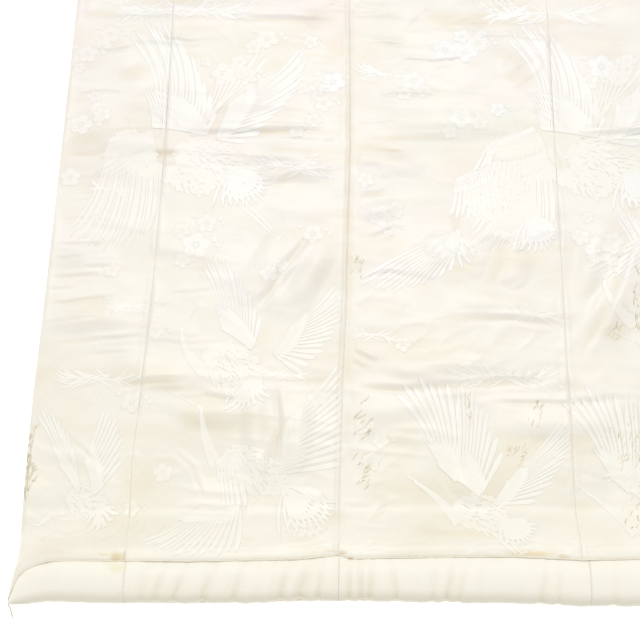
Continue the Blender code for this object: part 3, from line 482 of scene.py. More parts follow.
def group(name, inputs, outputs):
    tree = bpy.data.node_groups.new(name, "ShaderNodeTree")
    for title, kind, value in inputs:
        socket = tree.interface.new_socket(title, in_out="INPUT", socket_type=kind)
        if value is not None:
            socket.default_value = value
    for title, kind in outputs:
        tree.interface.new_socket(title, in_out="OUTPUT", socket_type=kind)
    return tree, tree.nodes.new("NodeGroupInput"), tree.nodes.new("NodeGroupOutput")


# Fills a node's inputs: a socket is linked, a number or a colour is set.
def fill(tree, node, values):
    for key, value in values.items():
        if isinstance(value, bpy.types.NodeSocket):
            tree.links.new(value, node.inputs[key])
        else:
            node.inputs[key].default_value = value


def add(tree, kind, values=None, **settings):
    node = tree.nodes.new("ShaderNode" + kind)
    for key, value in settings.items():
        setattr(node, key, value)
    fill(tree, node, values or {})
    return node


def reckon(tree, operation, *values, kind="Math"):
    return add(tree, kind, dict(enumerate(values)), operation=operation).outputs[0]


def scaled(tree, vector, scale):
    return add(tree, "VectorMath", {0: vector, "Scale": scale}, operation="SCALE").outputs[0]


def noiseOf(tree, vector, **settings):
    values = {key.capitalize(): value for key, value in settings.items()}
    return add(tree, "TexNoise", {"Vector": vector, **values}).outputs["Fac"]


def fade(tree, value, low, high, **more):  # 0 at low and 1 at high, a smooth step in between
    values = {"Value": value, "From Min": low, "From Max": high, **more}
    return add(tree, "MapRange", values, interpolation_type="SMOOTHSTEP").outputs["Result"]


def spread(tree, value, low, high):  # noise from 0.3 to 0.7 becomes low to high
    values = {"Value": value, "From Min": 0.3, "From Max": 0.7, "To Min": low, "To Max": high}
    return add(tree, "MapRange", values).outputs["Result"]


def blend(tree, share, a, b, **settings):
    return add(tree, "Mix", {"Factor": share, "A": a, "B": b}, data_type="RGBA", **settings).outputs["Result"]


def placeGroup(tree, which, values):
    node = add(tree, "Group")
    node.node_tree = which
    fill(tree, node, values)
    return node.outputs


satin = {
    "threadGauge": 1500.0,  # threads per metre in the fine grain
    "grainDepth": 0.00012,
    "tintSize": 5.0,  # tint patches per metre
}


# Fine silk threads: noise drawn out long and thin along the warp and along the weft, never a regular grid.
def makeThreadGroup():
    tree, source, sink = group(
        "silkThreads",
        [("Vector", "NodeSocketVector", None), ("Gauge", "NodeSocketFloat", satin["threadGauge"]),
         ("Stretch", "NodeSocketFloat", 14.0)],
        [("Height", "NodeSocketFloat"), ("Shade", "NodeSocketFloat")])
    parts = add(tree, "SeparateXYZ", {0: source.outputs["Vector"]}).outputs
    gauge, heights = source.outputs["Gauge"], []
    for long, thin in ("XY", "YX"):
        slow = reckon(tree, "DIVIDE", gauge, source.outputs["Stretch"])
        both = add(tree, "CombineXYZ", {"X": reckon(tree, "MULTIPLY", parts[thin], gauge),
                                        "Y": reckon(tree, "MULTIPLY", parts[long], slow)})
        heights.append(noiseOf(tree, both.outputs[0], scale=1.0, detail=1.5, roughness=0.5))
    tree.links.new(reckon(tree, "MULTIPLY_ADD", heights[0], 0.6, heights[1]), sink.inputs["Height"])
    tree.links.new(heights[1], sink.inputs["Shade"])
    return tree


# Soft tints of the silk: a blend of three colours by cloud noise, a yellower tone towards the hem that is partly
# aged silk and partly painted shade, and painted sheen, stretched patches darkened down to SheenDarkest.
def makeTintGroup():
    tree, source, sink = group(
        "silkTintAndSheen",
        [("Vector", "NodeSocketVector", None), ("Plain", "NodeSocketColor", (0.9, 0.86, 0.78, 1)),
         ("Rose", "NodeSocketColor", (0.92, 0.85, 0.79, 1)), ("Green", "NodeSocketColor", (0.86, 0.87, 0.77, 1)),
         ("Aged", "NodeSocketColor", (0.86, 0.8, 0.62, 1)), ("SheenDarkest", "NodeSocketFloat", 1.0)],
        [("Color", "NodeSocketColor")])
    given = source.outputs
    colour = given["Plain"]
    for title, aside, low, high in (("Rose", 3.1, 0.52, 0.68), ("Green", 9.7, 0.5, 0.68)):
        shift = reckon(tree, "ADD", given["Vector"], (aside, aside * 0.7, 0.0), kind="VectorMath")
        noise = noiseOf(tree, shift, scale=satin["tintSize"], detail=3.0, roughness=0.55)
        colour = blend(tree, fade(tree, noise, low, high), colour, given[title])
    # partly painted shade, partly aged silk: the colour turns towards Aged near the hem
    height = add(tree, "SeparateXYZ", {0: given["Vector"]}).outputs["Y"]
    drop = fade(tree, height, hemY + 0.62, hemY + 0.02, **{"To Max": 0.75})
    aged = blend(tree, drop, colour, given["Aged"])
    # painted sheen: stretched noise patches darken the colour down to SheenDarkest, standing in for the satin's
    # changing sheen
    flat = reckon(tree, "MULTIPLY", given["Vector"], (7.0, 15.0, 1.0), kind="VectorMath")
    patch = noiseOf(tree, flat, scale=1.0, detail=3.0, roughness=0.5, distortion=0.6)
    dim = fade(tree, patch, 0.34, 0.6, **{"To Min": given["SheenDarkest"]})
    tree.links.new(scaled(tree, aged, dim), sink.inputs["Color"])
    return tree


# A stain: full inside an oval and fading out over its rim, the rim broken up by noise.
def makeStainGroup():
    tree, source, sink = group(
        "stain",
        [("Vector", "NodeSocketVector", None), ("Color", "NodeSocketColor", (1, 1, 1, 1)),
         ("Tone", "NodeSocketColor", (0.62, 0.48, 0.22, 1)), ("Place", "NodeSocketVector", (0, 0, 0)),
         ("Size", "NodeSocketVector", (0.01, 0.01, 1.0)), ("Strength", "NodeSocketFloat", 0.5)],
        [("Color", "NodeSocketColor")])
    given = source.outputs
    away = reckon(tree, "SUBTRACT", given["Vector"], given["Place"], kind="VectorMath")
    shares = reckon(tree, "DIVIDE", away, given["Size"], kind="VectorMath")
    long = add(tree, "VectorMath", {0: shares}, operation="LENGTH").outputs["Value"]
    noise = noiseOf(tree, given["Vector"], scale=120.0, detail=3.0)
    rough = reckon(tree, "MULTIPLY_ADD", noise, 0.9, long)
    amount = reckon(tree, "MULTIPLY", fade(tree, rough, 1.5, 0.6), given["Strength"])
    tree.links.new(blend(tree, amount, given["Color"], given["Tone"]), sink.inputs["Color"])
    return tree


threadGroup = makeThreadGroup()
tintGroup = makeTintGroup()
stainGroup = makeStainGroup()

stains = (  # place (x, h), size (x, h) in millimetres, colour, strength
    ((-610, -9), (12.5, 9), (0.66, 0.5, 0.2), 0.6), ((-599, -7), (2.4, 10), (0.6, 0.42, 0.15), 0.6),
    ((-624, -6), (15, 3), (0.74, 0.6, 0.28), 0.45), ((-605, -24), (15, 11), (0.8, 0.77, 0.5), 0.52),
    ((-617, -18), (12, 7), (0.84, 0.81, 0.58), 0.4), ((-66, 5), (46, 5.2), (0.76, 0.56, 0.24), 0.52),
    ((-25, 2), (11, 4.5), (0.66, 0.44, 0.18), 0.45), ((-312, 2), (7.5, 4.5), (0.64, 0.42, 0.18), 0.5),
    ((-302, -6), (6, 3.5), (0.62, 0.4, 0.18), 0.45), ((-329, 4), (16, 2.8), (0.72, 0.54, 0.28), 0.32),
    ((-150, 30), (90, 10), (0.82, 0.7, 0.44), 0.26),
)


tintNames = ("Plain", "Rose", "Green", "Aged")


def silkMaterial(name, look):
    material, tree, shader = nodesOf(name)
    place = add(tree, "TexCoord").outputs["Object"]
    tints = {title: (*look[title], 1.0) for title in tintNames}
    colour = placeGroup(tree, tintGroup, {"Vector": place, "SheenDarkest": look.get("patchy", 1.0), **tints})["Color"]
    # Painted light from point attributes: worn darkens troughs towards the trough colour (painted shade) and
    # lightens raised lips towards the raised colour (painted highlight); aged mixes in the golden colour for
    # aged silk and painted shade.
    if look.get("trough"):
        for title, high, shade in (("worn", 1.0, look["trough"]), ("worn", -0.5, look["raised"]),
                                   ("aged", 1.0, look["golden"])):
            share = add(tree, "Attribute", attribute_name=title).outputs["Fac"]
            reach = add(tree, "MapRange", {"Value": share, "From Min": 0.0, "From Max": high}).outputs["Result"]
            colour = blend(tree, reach, colour, (*shade, 1.0), blend_type="MULTIPLY")
    for at, size, tone, strength in stains if look.get("stained") else ():
        (x, h), (wide, tall) = metres((at, size))
        colour = placeGroup(tree, stainGroup, {
            "Vector": place, "Color": colour, "Tone": (*tone, 1.0), "Place": (x, h + hemY, 0.0),
            "Size": (wide, tall, 1.0), "Strength": strength})["Color"]
    along = add(tree, "UVMap", uv_map="cloth").outputs["UV"] if look.get("alongPiece") else place
    threads = placeGroup(tree, threadGroup, {"Gauge": look["gauge"], "Vector": along})
    bump = add(tree, "Bump", {"Strength": look["bump"], "Distance": satin["grainDepth"],
                              "Height": threads["Height"]})
    fill(tree, shader, {
        "Base Color": scaled(tree, colour, spread(tree, threads["Shade"], look["shade"], 1.0)),
        "Roughness": spread(tree, threads["Height"], *look["rough"]), "Normal": bump.outputs["Normal"],
        "Sheen Weight": look["sheen"], "Sheen Roughness": 0.4, "Specular IOR Level": look["specular"]})
    return material


# trough is a painted shade colour for creases, raised a painted highlight for their lips, golden the tone of
# aged silk and of painted shade
brocadeLook = {
    "Plain": (0.862, 0.829, 0.764), "Rose": (0.872, 0.815, 0.768), "Green": (0.846, 0.826, 0.742),
    "Aged": (0.868, 0.837, 0.712), "stained": True, "gauge": 1500.0, "shade": 0.955,
    "rough": (0.34, 0.46), "bump": 0.35, "sheen": 0.1, "specular": 0.65, "patchy": 0.96,
    "trough": (0.955, 0.925, 0.865), "raised": (1.012, 1.004, 1.016), "golden": (0.925, 0.868, 0.755),
}
brocade = silkMaterial("brocadeGround", brocadeLook)
lining = silkMaterial("liningSatin", {
    "Plain": (0.84, 0.82, 0.76), "Rose": (0.85, 0.81, 0.76), "Green": (0.82, 0.82, 0.75),
    "Aged": (0.82, 0.79, 0.69), "gauge": 1800.0, "shade": 0.97,
    "rough": (0.3, 0.4), "bump": 0.25, "sheen": 0.1, "specular": 0.6,
})
seamSilk = silkMaterial("seamSilk", {
    "Plain": (0.9, 0.86, 0.76), "Rose": (0.9, 0.85, 0.76), "Green": (0.89, 0.86, 0.75),
    "Aged": (0.88, 0.82, 0.69), "gauge": 1500.0, "shade": 0.9,
    "rough": (0.5, 0.6), "bump": 0.3, "sheen": 0.1, "specular": 0.3,
})
cordSilk = silkMaterial("cordSilk", {
    "Plain": (0.88, 0.83, 0.72), "Rose": (0.88, 0.82, 0.71), "Green": (0.86, 0.83, 0.7),
    "Aged": (0.85, 0.79, 0.64), "gauge": 1500.0, "shade": 0.94,
    "rough": (0.45, 0.55), "bump": 0.3, "sheen": 0.1, "specular": 0.4, "stained": True,
})
# its trough colour is painted shade in the pucker valleys, its golden colour painted shade along the roll's foot
hemSatin = silkMaterial("hemSatin", {
    "Plain": (0.9, 0.872, 0.785), "Rose": (0.905, 0.865, 0.79), "Green": (0.89, 0.872, 0.78),
    "Aged": (0.892, 0.86, 0.755), "stained": True, "gauge": 1800.0, "shade": 0.975, "alongPiece": True,
    "rough": (0.44, 0.54), "bump": 0.25, "sheen": 0.12, "specular": 0.3,
    "trough": (0.975, 0.958, 0.925), "raised": (1.0, 1.0, 1.0), "golden": (0.835, 0.822, 0.775),
})


featherSlant = 4.5  # how steeply the barbs leave the shaft


# Lines of a feather on its own map, u along it in metres and v from -1 to 1 across: slanting barbs are noise
# over (u * gauge - |v| * slant, v), the edge is a smooth step of |v| near 1, the shaft one near 0.
def makeFeatherGroup():
    tree, source, sink = group(
        "featherLines", [("Vector", "NodeSocketVector", None), ("Gauge", "NodeSocketFloat", 1300.0)],
        [("Barbs", "NodeSocketFloat"), ("Edge", "NodeSocketFloat"), ("Shaft", "NodeSocketFloat")])
    parts = add(tree, "SeparateXYZ", {0: source.outputs["Vector"]}).outputs
    size = reckon(tree, "ABSOLUTE", parts["Y"])
    slant = reckon(tree, "MULTIPLY", size, featherSlant)
    along = reckon(tree, "MULTIPLY", parts["X"], source.outputs["Gauge"])
    both = add(tree, "CombineXYZ", {"X": reckon(tree, "SUBTRACT", along, slant), "Y": parts["Y"]}).outputs[0]
    fill(tree, sink, {"Barbs": noiseOf(tree, both, scale=1.0, detail=1.0), "Edge": fade(tree, size, 0.66, 0.97),
                      "Shaft": fade(tree, size, 0.16, 0.02)})
    return tree


featherGroup = makeFeatherGroup()
featherLook = {
    "Plain": (0.882, 0.868, 0.846), "Rose": (0.884, 0.86, 0.846), "Green": (0.87, 0.868, 0.834),
    "Aged": (0.898, 0.876, 0.808), "edgeDark": 0.16, "shaftDark": 0.06, "barbDark": 0.09,
    "rough": (0.34, 0.46), "bump": 0.5, "sheen": 0.1, "specular": 0.45,
}


def figureMaterial():
    material, tree, shader = nodesOf("figureSilk")
    place = add(tree, "TexCoord").outputs["Object"]
    tints = {title: (*featherLook[title], 1.0) for title in tintNames}
    grounds = {title: (*(1.012 * v for v in brocadeLook[title]), 1.0) for title in tintNames}
    lines = placeGroup(tree, featherGroup, {"Vector": add(tree, "UVMap", uv_map="cloth").outputs["UV"]})
    tone = add(tree, "Attribute", attribute_name="tone").outputs["Fac"]
    reach = add(tree, "MapRange", {"Value": tone, "From Min": 0.25, "From Max": 1.0}).outputs["Result"]
    faint = blend(tree, reach, placeGroup(tree, tintGroup, {"Vector": place, **grounds})["Color"],
                  placeGroup(tree, tintGroup, {"Vector": place, **tints})["Color"])
    total = 1.0 + featherLook["barbDark"] * 0.5
    for title, amount in (("Edge", "edgeDark"), ("Shaft", "shaftDark"), ("Barbs", "barbDark")):
        total = reckon(tree, "MULTIPLY_ADD", lines[title], -featherLook[amount], total)
    bump = add(tree, "Bump", {"Strength": featherLook["bump"], "Distance": 0.00015, "Height": lines["Barbs"]})
    fill(tree, shader, {
        "Base Color": scaled(tree, faint, total),
        "Roughness": spread(tree, lines["Barbs"], *featherLook["rough"]),
        "Normal": bump.outputs["Normal"], "Sheen Weight": featherLook["sheen"],
        "Specular IOR Level": featherLook["specular"]})
    return material


# metal threads: the threads are real, their dark olive colours painted shade of metal reflecting away from the
# lamps
glintLook = ((0.35, (0.5, 0.45, 0.28)), (0.55, (0.66, 0.6, 0.42)), (0.72, (0.85, 0.8, 0.64)))


def glintMaterial():
    material, tree, shader = nodesOf("glintThread")
    noise = noiseOf(tree, add(tree, "TexCoord").outputs["Object"], scale=180.0, detail=2.0)
    colour = add(tree, "ValToRGB", {"Fac": noise})
    elements = colour.color_ramp.elements
    elements.new(0.5)
    for element, (position, tone) in zip(elements, glintLook):
        element.position = position
        element.color = (*tone, 1.0)
    rough = add(tree, "MapRange", {"Value": noise, "To Min": 0.25, "To Max": 0.5}).outputs["Result"]
    fill(tree, shader, {"Base Color": colour.outputs["Color"], "Roughness": rough, "Metallic": 0.5})
    return material


figureSilk = figureMaterial()
glintThread = glintMaterial()
print("finishes made")


# cloth panels

panels = {}


# A panel between two edges: share runs from its inner to its outer edge, level from the hem to its top.
# Below hemZone a level follows the curved hem: h = hem + level * (hemZone - hem) / hemZone.
def panelGrid(panel, columns, rows):
    level, share = np.meshgrid(rows, columns, indexing="ij")
    inner, outer = panel["inner"](level), panel["outer"](level)
    half = inner + share * (outer - inner)
    hem = hemHeight(half)
    h = np.where(level < hemZone, hem + level * (hemZone - hem) / hemZone, level)
    if panel["kind"] == "back":
        neck = 0.038 * np.sqrt(np.clip(1.0 - (half / 0.09) ** 2, 0.0, 1.0))
        h = h - neck * smoothStep((level - 1.6) / (bodyLength - 1.6))
    return half, h, level


def secondLayer(half, h):  # share of the folded-under layer of a front at a point
    near = 1.0 - smoothStep((foldLineHalf(h) - half - lay["foldBand"]) / 0.04)
    outsideBack = smoothStep((half - shoulderHalf - 0.004) / 0.02)
    rows = smoothStep((h - foldLow + 0.1) / 0.1) * smoothStep((foldTop + 0.02 - h) / 0.04)
    return near * outsideBack * rows


def makePanel(name, kind, side, inner, outer, top, spacing, flat):
    panel = {"kind": kind, "inner": inner, "outer": outer, "side": side, "top": top, "name": name}
    width = float(outer(0.5) - inner(0.5))
    columns = closeToEnds(width, spacing, mesh["seamEnds"]) / width
    rows = rowsFor(top, spacing)
    half, h, level = panelGrid(panel, columns, rows)
    x = side * half
    innerD, outerD = half - inner(level), outer(level) - half
    creased = creaseHeights(x, h, creases)
    loose = looseHeights(x, h) + creased
    # painted light: positive in crease troughs, a painted shade; negative on the raised lips, a painted
    # highlight
    worn = np.clip(-(0.6 * creased + loose) / 0.0034, -0.5, 1.0)
    calm = smoothStep(innerD / 0.006) * smoothStep(outerD / 0.006) * (0.35 + 0.65 * smoothStep(level / 0.05))
    sewn = sewnEdges(kind, innerD, outerD, level)
    if kind == "front":
        sewn = sewn * (1.0 - smoothStep((h - 1.4) / 0.1))
    detail = np.clip(loose * (0.35 + 0.65 * calm) + sewn, -0.0018, 0.0066)
    under = clothUnder(x, h)
    if kind == "back":
        under = under + backLift(h)
    else:
        hidden = smoothStep((h - lay["backLiftH"]) / 0.05)
        under = under * (1.0 - hidden)
        detail = detail * (1.0 - 0.95 * smoothStep((h - 0.93) / 0.06))
    over = under + lay["skin"] + detail
    if kind != "back":
        over = over + lay["foldExtra"] * secondLayer(half, h)
        over = np.where((outerD < 1e-6) & (level > foldLow + 0.01) & (level < foldTop), (under + over) / 2, over)
    tucked = np.exp(-((level / 0.0012) ** 2))
    thin = 1.0 - smoothStep(level / 0.016)
    over = np.maximum(over, under + 0.002) - 0.0016 * thin - 0.0007 * tucked
    under = under - 0.001 * tucked
    sheet = sheetMesh(clothName(name), x, h, over, under, [brocade, lining], worn)
    panel.update(columns=columns, rows=rows, z=over)
    panels[name] = panel
    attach(sheet, "root")
    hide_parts(name)
    return sheet, flat


gap = lay["seamShown"] / 2
overlapTop = (foldTop - (overlapHalf(1.2) - shoulderHalf) * (foldTop - foldLow)
              / (edgeHalf(foldLow) - shoulderHalf))


def backInner(level):
    return np.full_like(level, gap) if hasattr(level, "shape") else gap


def backOuter(level):
    return backHalf(level) - gap


def frontInner(level):
    line = fromTable(collarLine, "h", "half", level)
    inner = np.where(level < collarLine["h"][0], sideHalf(level), np.minimum(line, sideHalf(level)))
    return inner + gap


def frontOuter(level):
    outer = np.where(level < foldLow, overlapHalf(level), np.minimum(overlapHalf(level), foldLineHalf(level)))
    return np.where(level > foldTop, shoulderHalf, outer) - gap


def overlapInner(level):
    return overlapHalf(level) + gap


def overlapOuter(level):
    outer = np.where(level < foldLow, edgeHalf(level), foldLineHalf(level))
    corner = 1.0 - smoothStep(level / 0.034)
    return outer + (plan["edge"][0] - outer) * corner


for word, side in (("left", -1), ("right", 1)):
    seen = mesh["seen"] if side < 0 else mesh["side"]
    makePanel("back_" + word, "back", side, backInner, backOuter, bodyLength,
                                       mesh["seen"] if side < 0 else 0.0044, (0.335, 1.88))
    makePanel("front_" + word, "front", side, frontInner, frontOuter,
                                        bodyLength - 0.0008, seen, (0.285, 1.88))
    makePanel("overlap_" + word, "overlap", side, overlapInner, overlapOuter,
                                          overlapTop - 0.006, seen, (0.15, 1.25))
print("cloth panels laid")


# The turned-in edges behind a seam: a narrow strip whose middle line follows the seam, a little below the
# faces of both panels.
def seamStrip(name, side, panel, line, top):
    level = panel["rows"][panel["rows"] <= top]
    half = line(level)
    hem = hemHeight(half)
    h = np.where(level < hemZone, hem + level * (hemZone - hem) / hemZone, level)
    z = panel["z"][:len(level), 0] - 0.00015
    across = np.array([-1.0, -0.4, 0.4, 1.0])
    x = side * half[:, None] + 0.0014 * across
    y = np.broadcast_to((h + hemY)[:, None], x.shape)
    z = z[:, None] - np.array([0.0007, 0.0, 0.0, 0.0007])
    points = np.stack([x, y, z], -1).reshape(-1, 3)
    index = np.arange(len(points)).reshape(-1, 4)
    quads = np.stack([index[:-1, :-1], index[:-1, 1:], index[1:, 1:], index[1:, :-1]], -1).reshape(-1, 4)
    strip = gridMesh(name, points, quads, [seamSilk], uv=points[:, :2])
    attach(strip, "root")
    return strip


for word, side in (("Left", -1), ("Right", 1)):
    low = word.lower()
    seamStrip("sideSeam" + word, side, panels["front_" + low], sideHalf, 0.925)
    seamStrip("overlapSeam" + word, side, panels["overlap_" + low], overlapHalf, 0.925)
seamStrip("backSeam", 1, panels["back_right"], lambda level: 0 * level, 1.84)


# padded hem

puckers = {
    "regions": (  # from x in millimetres, strength, slant of the small gathers
        (-760, 0.1, 0), (-615, 0.85, 0.55), (-420, 1, 0.35), (-335, 1.35, -0.05), (-230, 0.7, 0.45),
        (-120, 0.55, 0.15), (-20, 0.25, 0), (120, 0.9, -0.45), (330, 0.85, -0.5), (620, 0.15, 0),
    ),
    "blend": 0.02, "bunchShift": -0.76, "spacing": 0.0155, "depth": 0.0026,
    "fineSpacing": 0.0056, "fineDepth": 0.0012,
}
mainPuckers = metres((  # x at the cloth's edge, x at the outer side, half width, depth
    (-569, -574, 7, 1.6), (-542, -556, 7, 3.4), (-514, -532, 6, 2.6), (-476, -494, 7, 3.4),
    (-440, -454, 6, 2.6), (-380, -392, 6, 3.4), (-352, -368, 7, 2.8), (-336, -344, 5, 2.6), (-303, -303, 5, 3),
    (-290, -288, 5, 3.6), (-272, -277, 5, 4), (-251, -242, 6, 2.8), (-190, -196, 6, 2), (-164, -178, 6, 3.2),
    (-146, -162, 5, 2), (-43, -56, 6, 2.6), (-30, -32, 5, 1.6), (44, 40, 6, 1.4), (120, 132, 7, 3),
    (168, 178, 6, 3), (252, 264, 6, 3.2), (286, 290, 6, 3.2), (348, 360, 6, 3.6), (384, 398, 6, 3.2),
    (452, 468, 6, 3), (498, 514, 6, 3), (560, 572, 6, 3), (640, 646, 7, 1.8),
))


# How far the padded hem is pressed in at x and at a place from 0 at the cloth's edge to 1 at its outer foot.
# Each main pucker is a bell round a slanting line; small gathers are cloud noise sheared along the slant.
def puckerDepth(x, place):
    starts, strengths, slants = zip(*puckers["regions"])
    starts = np.array(metres(starts)) + puckers["blend"]
    strength, slant = np.interp(x, starts, strengths), np.interp(x, starts, slants)
    shifted = x + slant * place * 0.05
    bunch = 0.75 + 0.5 * cloudNoise(shifted / puckers["spacing"] + puckers["bunchShift"], place * 1.3, 21)
    gathers = np.abs(cloudNoise(shifted / puckers["spacing"], place * 0.9, 22)) * puckers["depth"] * bunch
    gathers += np.abs(cloudNoise(shifted / puckers["fineSpacing"], place * 1.6, 23)) * puckers["fineDepth"]
    total = gathers * strength * (0.42 + 0.36 * smoothStep((place - 0.35) / 0.4))
    for top, low, width, depth in mainPuckers:
        middle = top + (low - top) * place
        reach = 0.3 + 1.0 * smoothStep((place - 0.3) / 0.45)
        narrow = width * (0.56 + 0.34 * place)
        total += 1.12 * depth * reach * np.exp(-(np.abs((x - middle) / narrow) ** 1.5))
    return total


# The padded hem's surface: an oval section, angle 0 under the cloth and a quarter turn at the top, flattened
# where it rests, with its puckers pressed in along the section's own outward direction.
def rollSurface(x, angle, seams):
    inner = hemHeight(x) + lay["rollInset"]
    centre, half = (inner + rollOuter(x)) / 2, (inner - rollOuter(x)) / 2
    tall = rollHeight(x)
    outside = np.cos(angle) < 0
    run, rise = np.cos(angle), np.sin(angle)
    run = np.where(outside, -np.abs(run) ** 0.8, run)
    rise = np.where(outside & (rise > 0), np.abs(rise) ** 0.72, rise)
    h = centre + half * run
    z = tall * (0.45 + 0.55 * rise)
    place = np.clip((1.0 - np.cos(angle)) / 2, 0.0, 1.0)
    pressed = puckerDepth(x, place)
    for seam in seams:
        pressed += 0.0004 * np.exp(-(((x - seam) / 0.001) ** 2)) + 0.0006 * np.exp(-(((x - seam) / 0.007) ** 2))
    shown = smoothStep((np.sin(angle) + 0.55) / 0.5) * smoothStep((1.0 - np.cos(angle) - 0.1) / 0.3)
    plump = 0.0011 * cloudNoise(x / 0.06, place * 1.5, 25) + 0.0006 * cloudNoise(x / 0.025, place * 2.0, 26)
    push = (plump - pressed) * shown * smoothStep(tall / 0.03)
    h = h - push * -np.cos(angle) * 0.9
    z = z + push * np.clip(np.sin(angle), -0.2, 1.0) - 0.0004 * shown
    # the third value is painted shade in the pucker valleys, deeper where the hem is pressed in
    return h + hemY, np.maximum(z, 0.0), np.clip(pressed * shown / 0.0036, 0.0, 1.0)


rollMesh = {"left": 0.0014, "right": 0.0028, "around": 57}  # spacing of the stations, points round the section
rollEnd = {"from": 0.73, "taper": 0.0235, "stations": 14, "seam": 0.7, "beyond": 0.74}


def rollPiece(name, start, end):
    tip = math.copysign(1.0, start + end)
    low, high = sorted((abs(start), abs(end)))
    spacing = rollMesh["left" if tip < 0 else "right"]
    if start * end < 0:
        stations = np.linspace(start, end, int(abs(end - start) / spacing))
    else:
        stations = tip * np.linspace(low, high, int((high - low) / spacing))
        if high > rollEnd["beyond"]:
            body = np.linspace(low, rollEnd["from"], int((rollEnd["from"] - low) / spacing))
            quarter = np.linspace(0.1, 1.0, rollEnd["stations"]) * math.pi / 2
            stations = tip * np.concatenate([body, rollEnd["from"] + rollEnd["taper"] * np.sin(quarter)])
    angles = np.linspace(0, 2 * math.pi, rollMesh["around"])[:-1]
    x, angle = np.meshgrid(stations, angles, indexing="ij")
    y, z, worn = rollSurface(x, angle,
                             (start, end) if high < rollEnd["beyond"] else (tip * low, tip * rollEnd["seam"]))
    rows, columns = x.shape
    points = np.stack([x, y, z], axis=-1).reshape(-1, 3)
    index = np.arange(rows * columns).reshape(rows, columns)
    after = np.roll(index, -1, axis=1)
    quads = np.stack([index[:-1], after[:-1], after[1:], index[1:]], axis=-1).reshape(-1, 4)
    faces = quads.tolist()
    if stations[-1] > stations[0]:
        faces += [index[0][::-1].tolist(), index[-1].tolist()]
    else:
        faces = [face[::-1] for face in faces]
        faces += [index[0].tolist(), index[-1][::-1].tolist()]
    around = np.cumsum(np.append(0, np.hypot(np.diff(y[0]), np.diff(z[0]))))
    uv = np.stack([x.ravel(), np.tile(around, rows)], axis=-1)
    roll = gridMesh(clothName(name), points, faces, [hemSatin], uv=uv, tone=worn.ravel(), attribute="worn")
    # painted shade: darker towards the roll's foot, where it curves under to the floor, stored as aged
    rim = smoothStep((-0.38 - np.cos(angle)) / 0.6)
    roll.data.attributes.new("aged", "FLOAT", "POINT").data.foreach_set("value", rim.ravel().astype(np.float32))
    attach(roll, "root")
    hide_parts(name)
    return roll


seamsAt = (gap, float(sideHalf(0.0)), float(overlapHalf(0.0)), plan["edge"][0])
for word, side in (("left", -1), ("right", 1)):
    for part, start, end in zip(("back", "front", "overlap"), seamsAt, seamsAt[1:]):
        first = side * (start + gap) if part != "back" else lay["rollSeamShift"] + side * gap
        rollPiece("hem_roll_" + part + "_" + word, first, side * (end - gap))
print("padded hem filled")


hemCord = {  # half length, place of the denser left part, radius and its unevenness, length of a stitch
    "half": 0.7505, "denseTo": 0.05, "stations": (600, 320), "radius": 0.00105, "uneven": 0.25, "stitch": 0.0045,
}


# The stitched edge where the cloth meets the padded hem: a half-round cord lying along the hem line, its radius
# swelling and shrinking a little from stitch to stitch.
def makeHemSeam():
    half, middle, (dense, coarse) = hemCord["half"], hemCord["denseTo"], hemCord["stations"]
    x = np.concatenate([np.linspace(-half, middle, dense), np.linspace(middle, half, coarse)[1:]])
    centreH, centreZ = hemHeight(x) - 0.0005, rollTopAtHem(x) + 0.0013
    runX, runH = np.gradient(x), np.gradient(centreH)
    size = np.hypot(runX, runH)
    radius = hemCord["radius"] * (1 + hemCord["uneven"] * cloudNoise(x / hemCord["stitch"], 0 * x, 71))
    radius = radius * smoothStep((half - np.abs(x)) / 0.01 + 0.3)
    angle = np.linspace(0, math.pi, 5)
    aside = radius[:, None] * np.cos(angle)
    points = np.stack([x[:, None] - (runH / size)[:, None] * aside, centreH[:, None] + hemY
                       + (runX / size)[:, None] * aside, centreZ[:, None] + radius[:, None] * np.sin(angle)], -1)
    index = np.arange(len(x) * 5).reshape(-1, 5)
    quads = np.stack([index[:-1, :-1], index[:-1, 1:], index[1:, 1:], index[1:, :-1]], -1)
    quads = quads.reshape(-1, 4)[:, ::-1]
    points = points.reshape(-1, 3)
    cord = gridMesh("hemSeam", points, quads, [cordSilk], uv=points[:, :2])
    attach(cord, "root")
    return cord


makeHemSeam()

# loose thread at the left corner

loosePly = {"thick": 0.0006, "spread": 0.00042, "twist": 0.0046, "ends": 12, "endLength": 0.003}
threadSilk = silkMaterial("threadSilk", {
    "Plain": (0.7, 0.66, 0.55), "Rose": (0.7, 0.65, 0.55), "Green": (0.68, 0.66, 0.53),
    "Aged": (0.66, 0.61, 0.48), "gauge": 2600.0, "shade": 0.8, "alongPiece": True,
    "rough": (0.55, 0.75), "bump": 0.5, "sheen": 0.2, "specular": 0.3,
})


# A tube of six sides round a line of points: its ring lies in the plane across the line's direction.
def tube(line, radius):
    run = np.gradient(line, axis=0)
    run /= np.linalg.norm(run, axis=1, keepdims=True)
    aside = np.cross(run, (0.0, 0.0, 1.0))
    aside /= np.linalg.norm(aside, axis=1, keepdims=True)
    above = np.cross(aside, run)
    angle = np.linspace(0, 2 * math.pi, 7)[:-1]
    radius = np.broadcast_to(radius, (len(line),))[:, None, None]
    ring = np.cos(angle)[None, :, None] * aside[:, None] + np.sin(angle)[None, :, None] * above[:, None]
    points = line[:, None] + radius * ring
    index = np.arange(len(line) * 6).reshape(-1, 6)
    after = np.roll(index, -1, axis=1)
    quads = np.stack([index[:-1], after[:-1], after[1:], index[1:]], -1).reshape(-1, 4)[:, ::-1]
    return points.reshape(-1, 3), quads.tolist() + [index[0].tolist(), index[-1][::-1].tolist()]


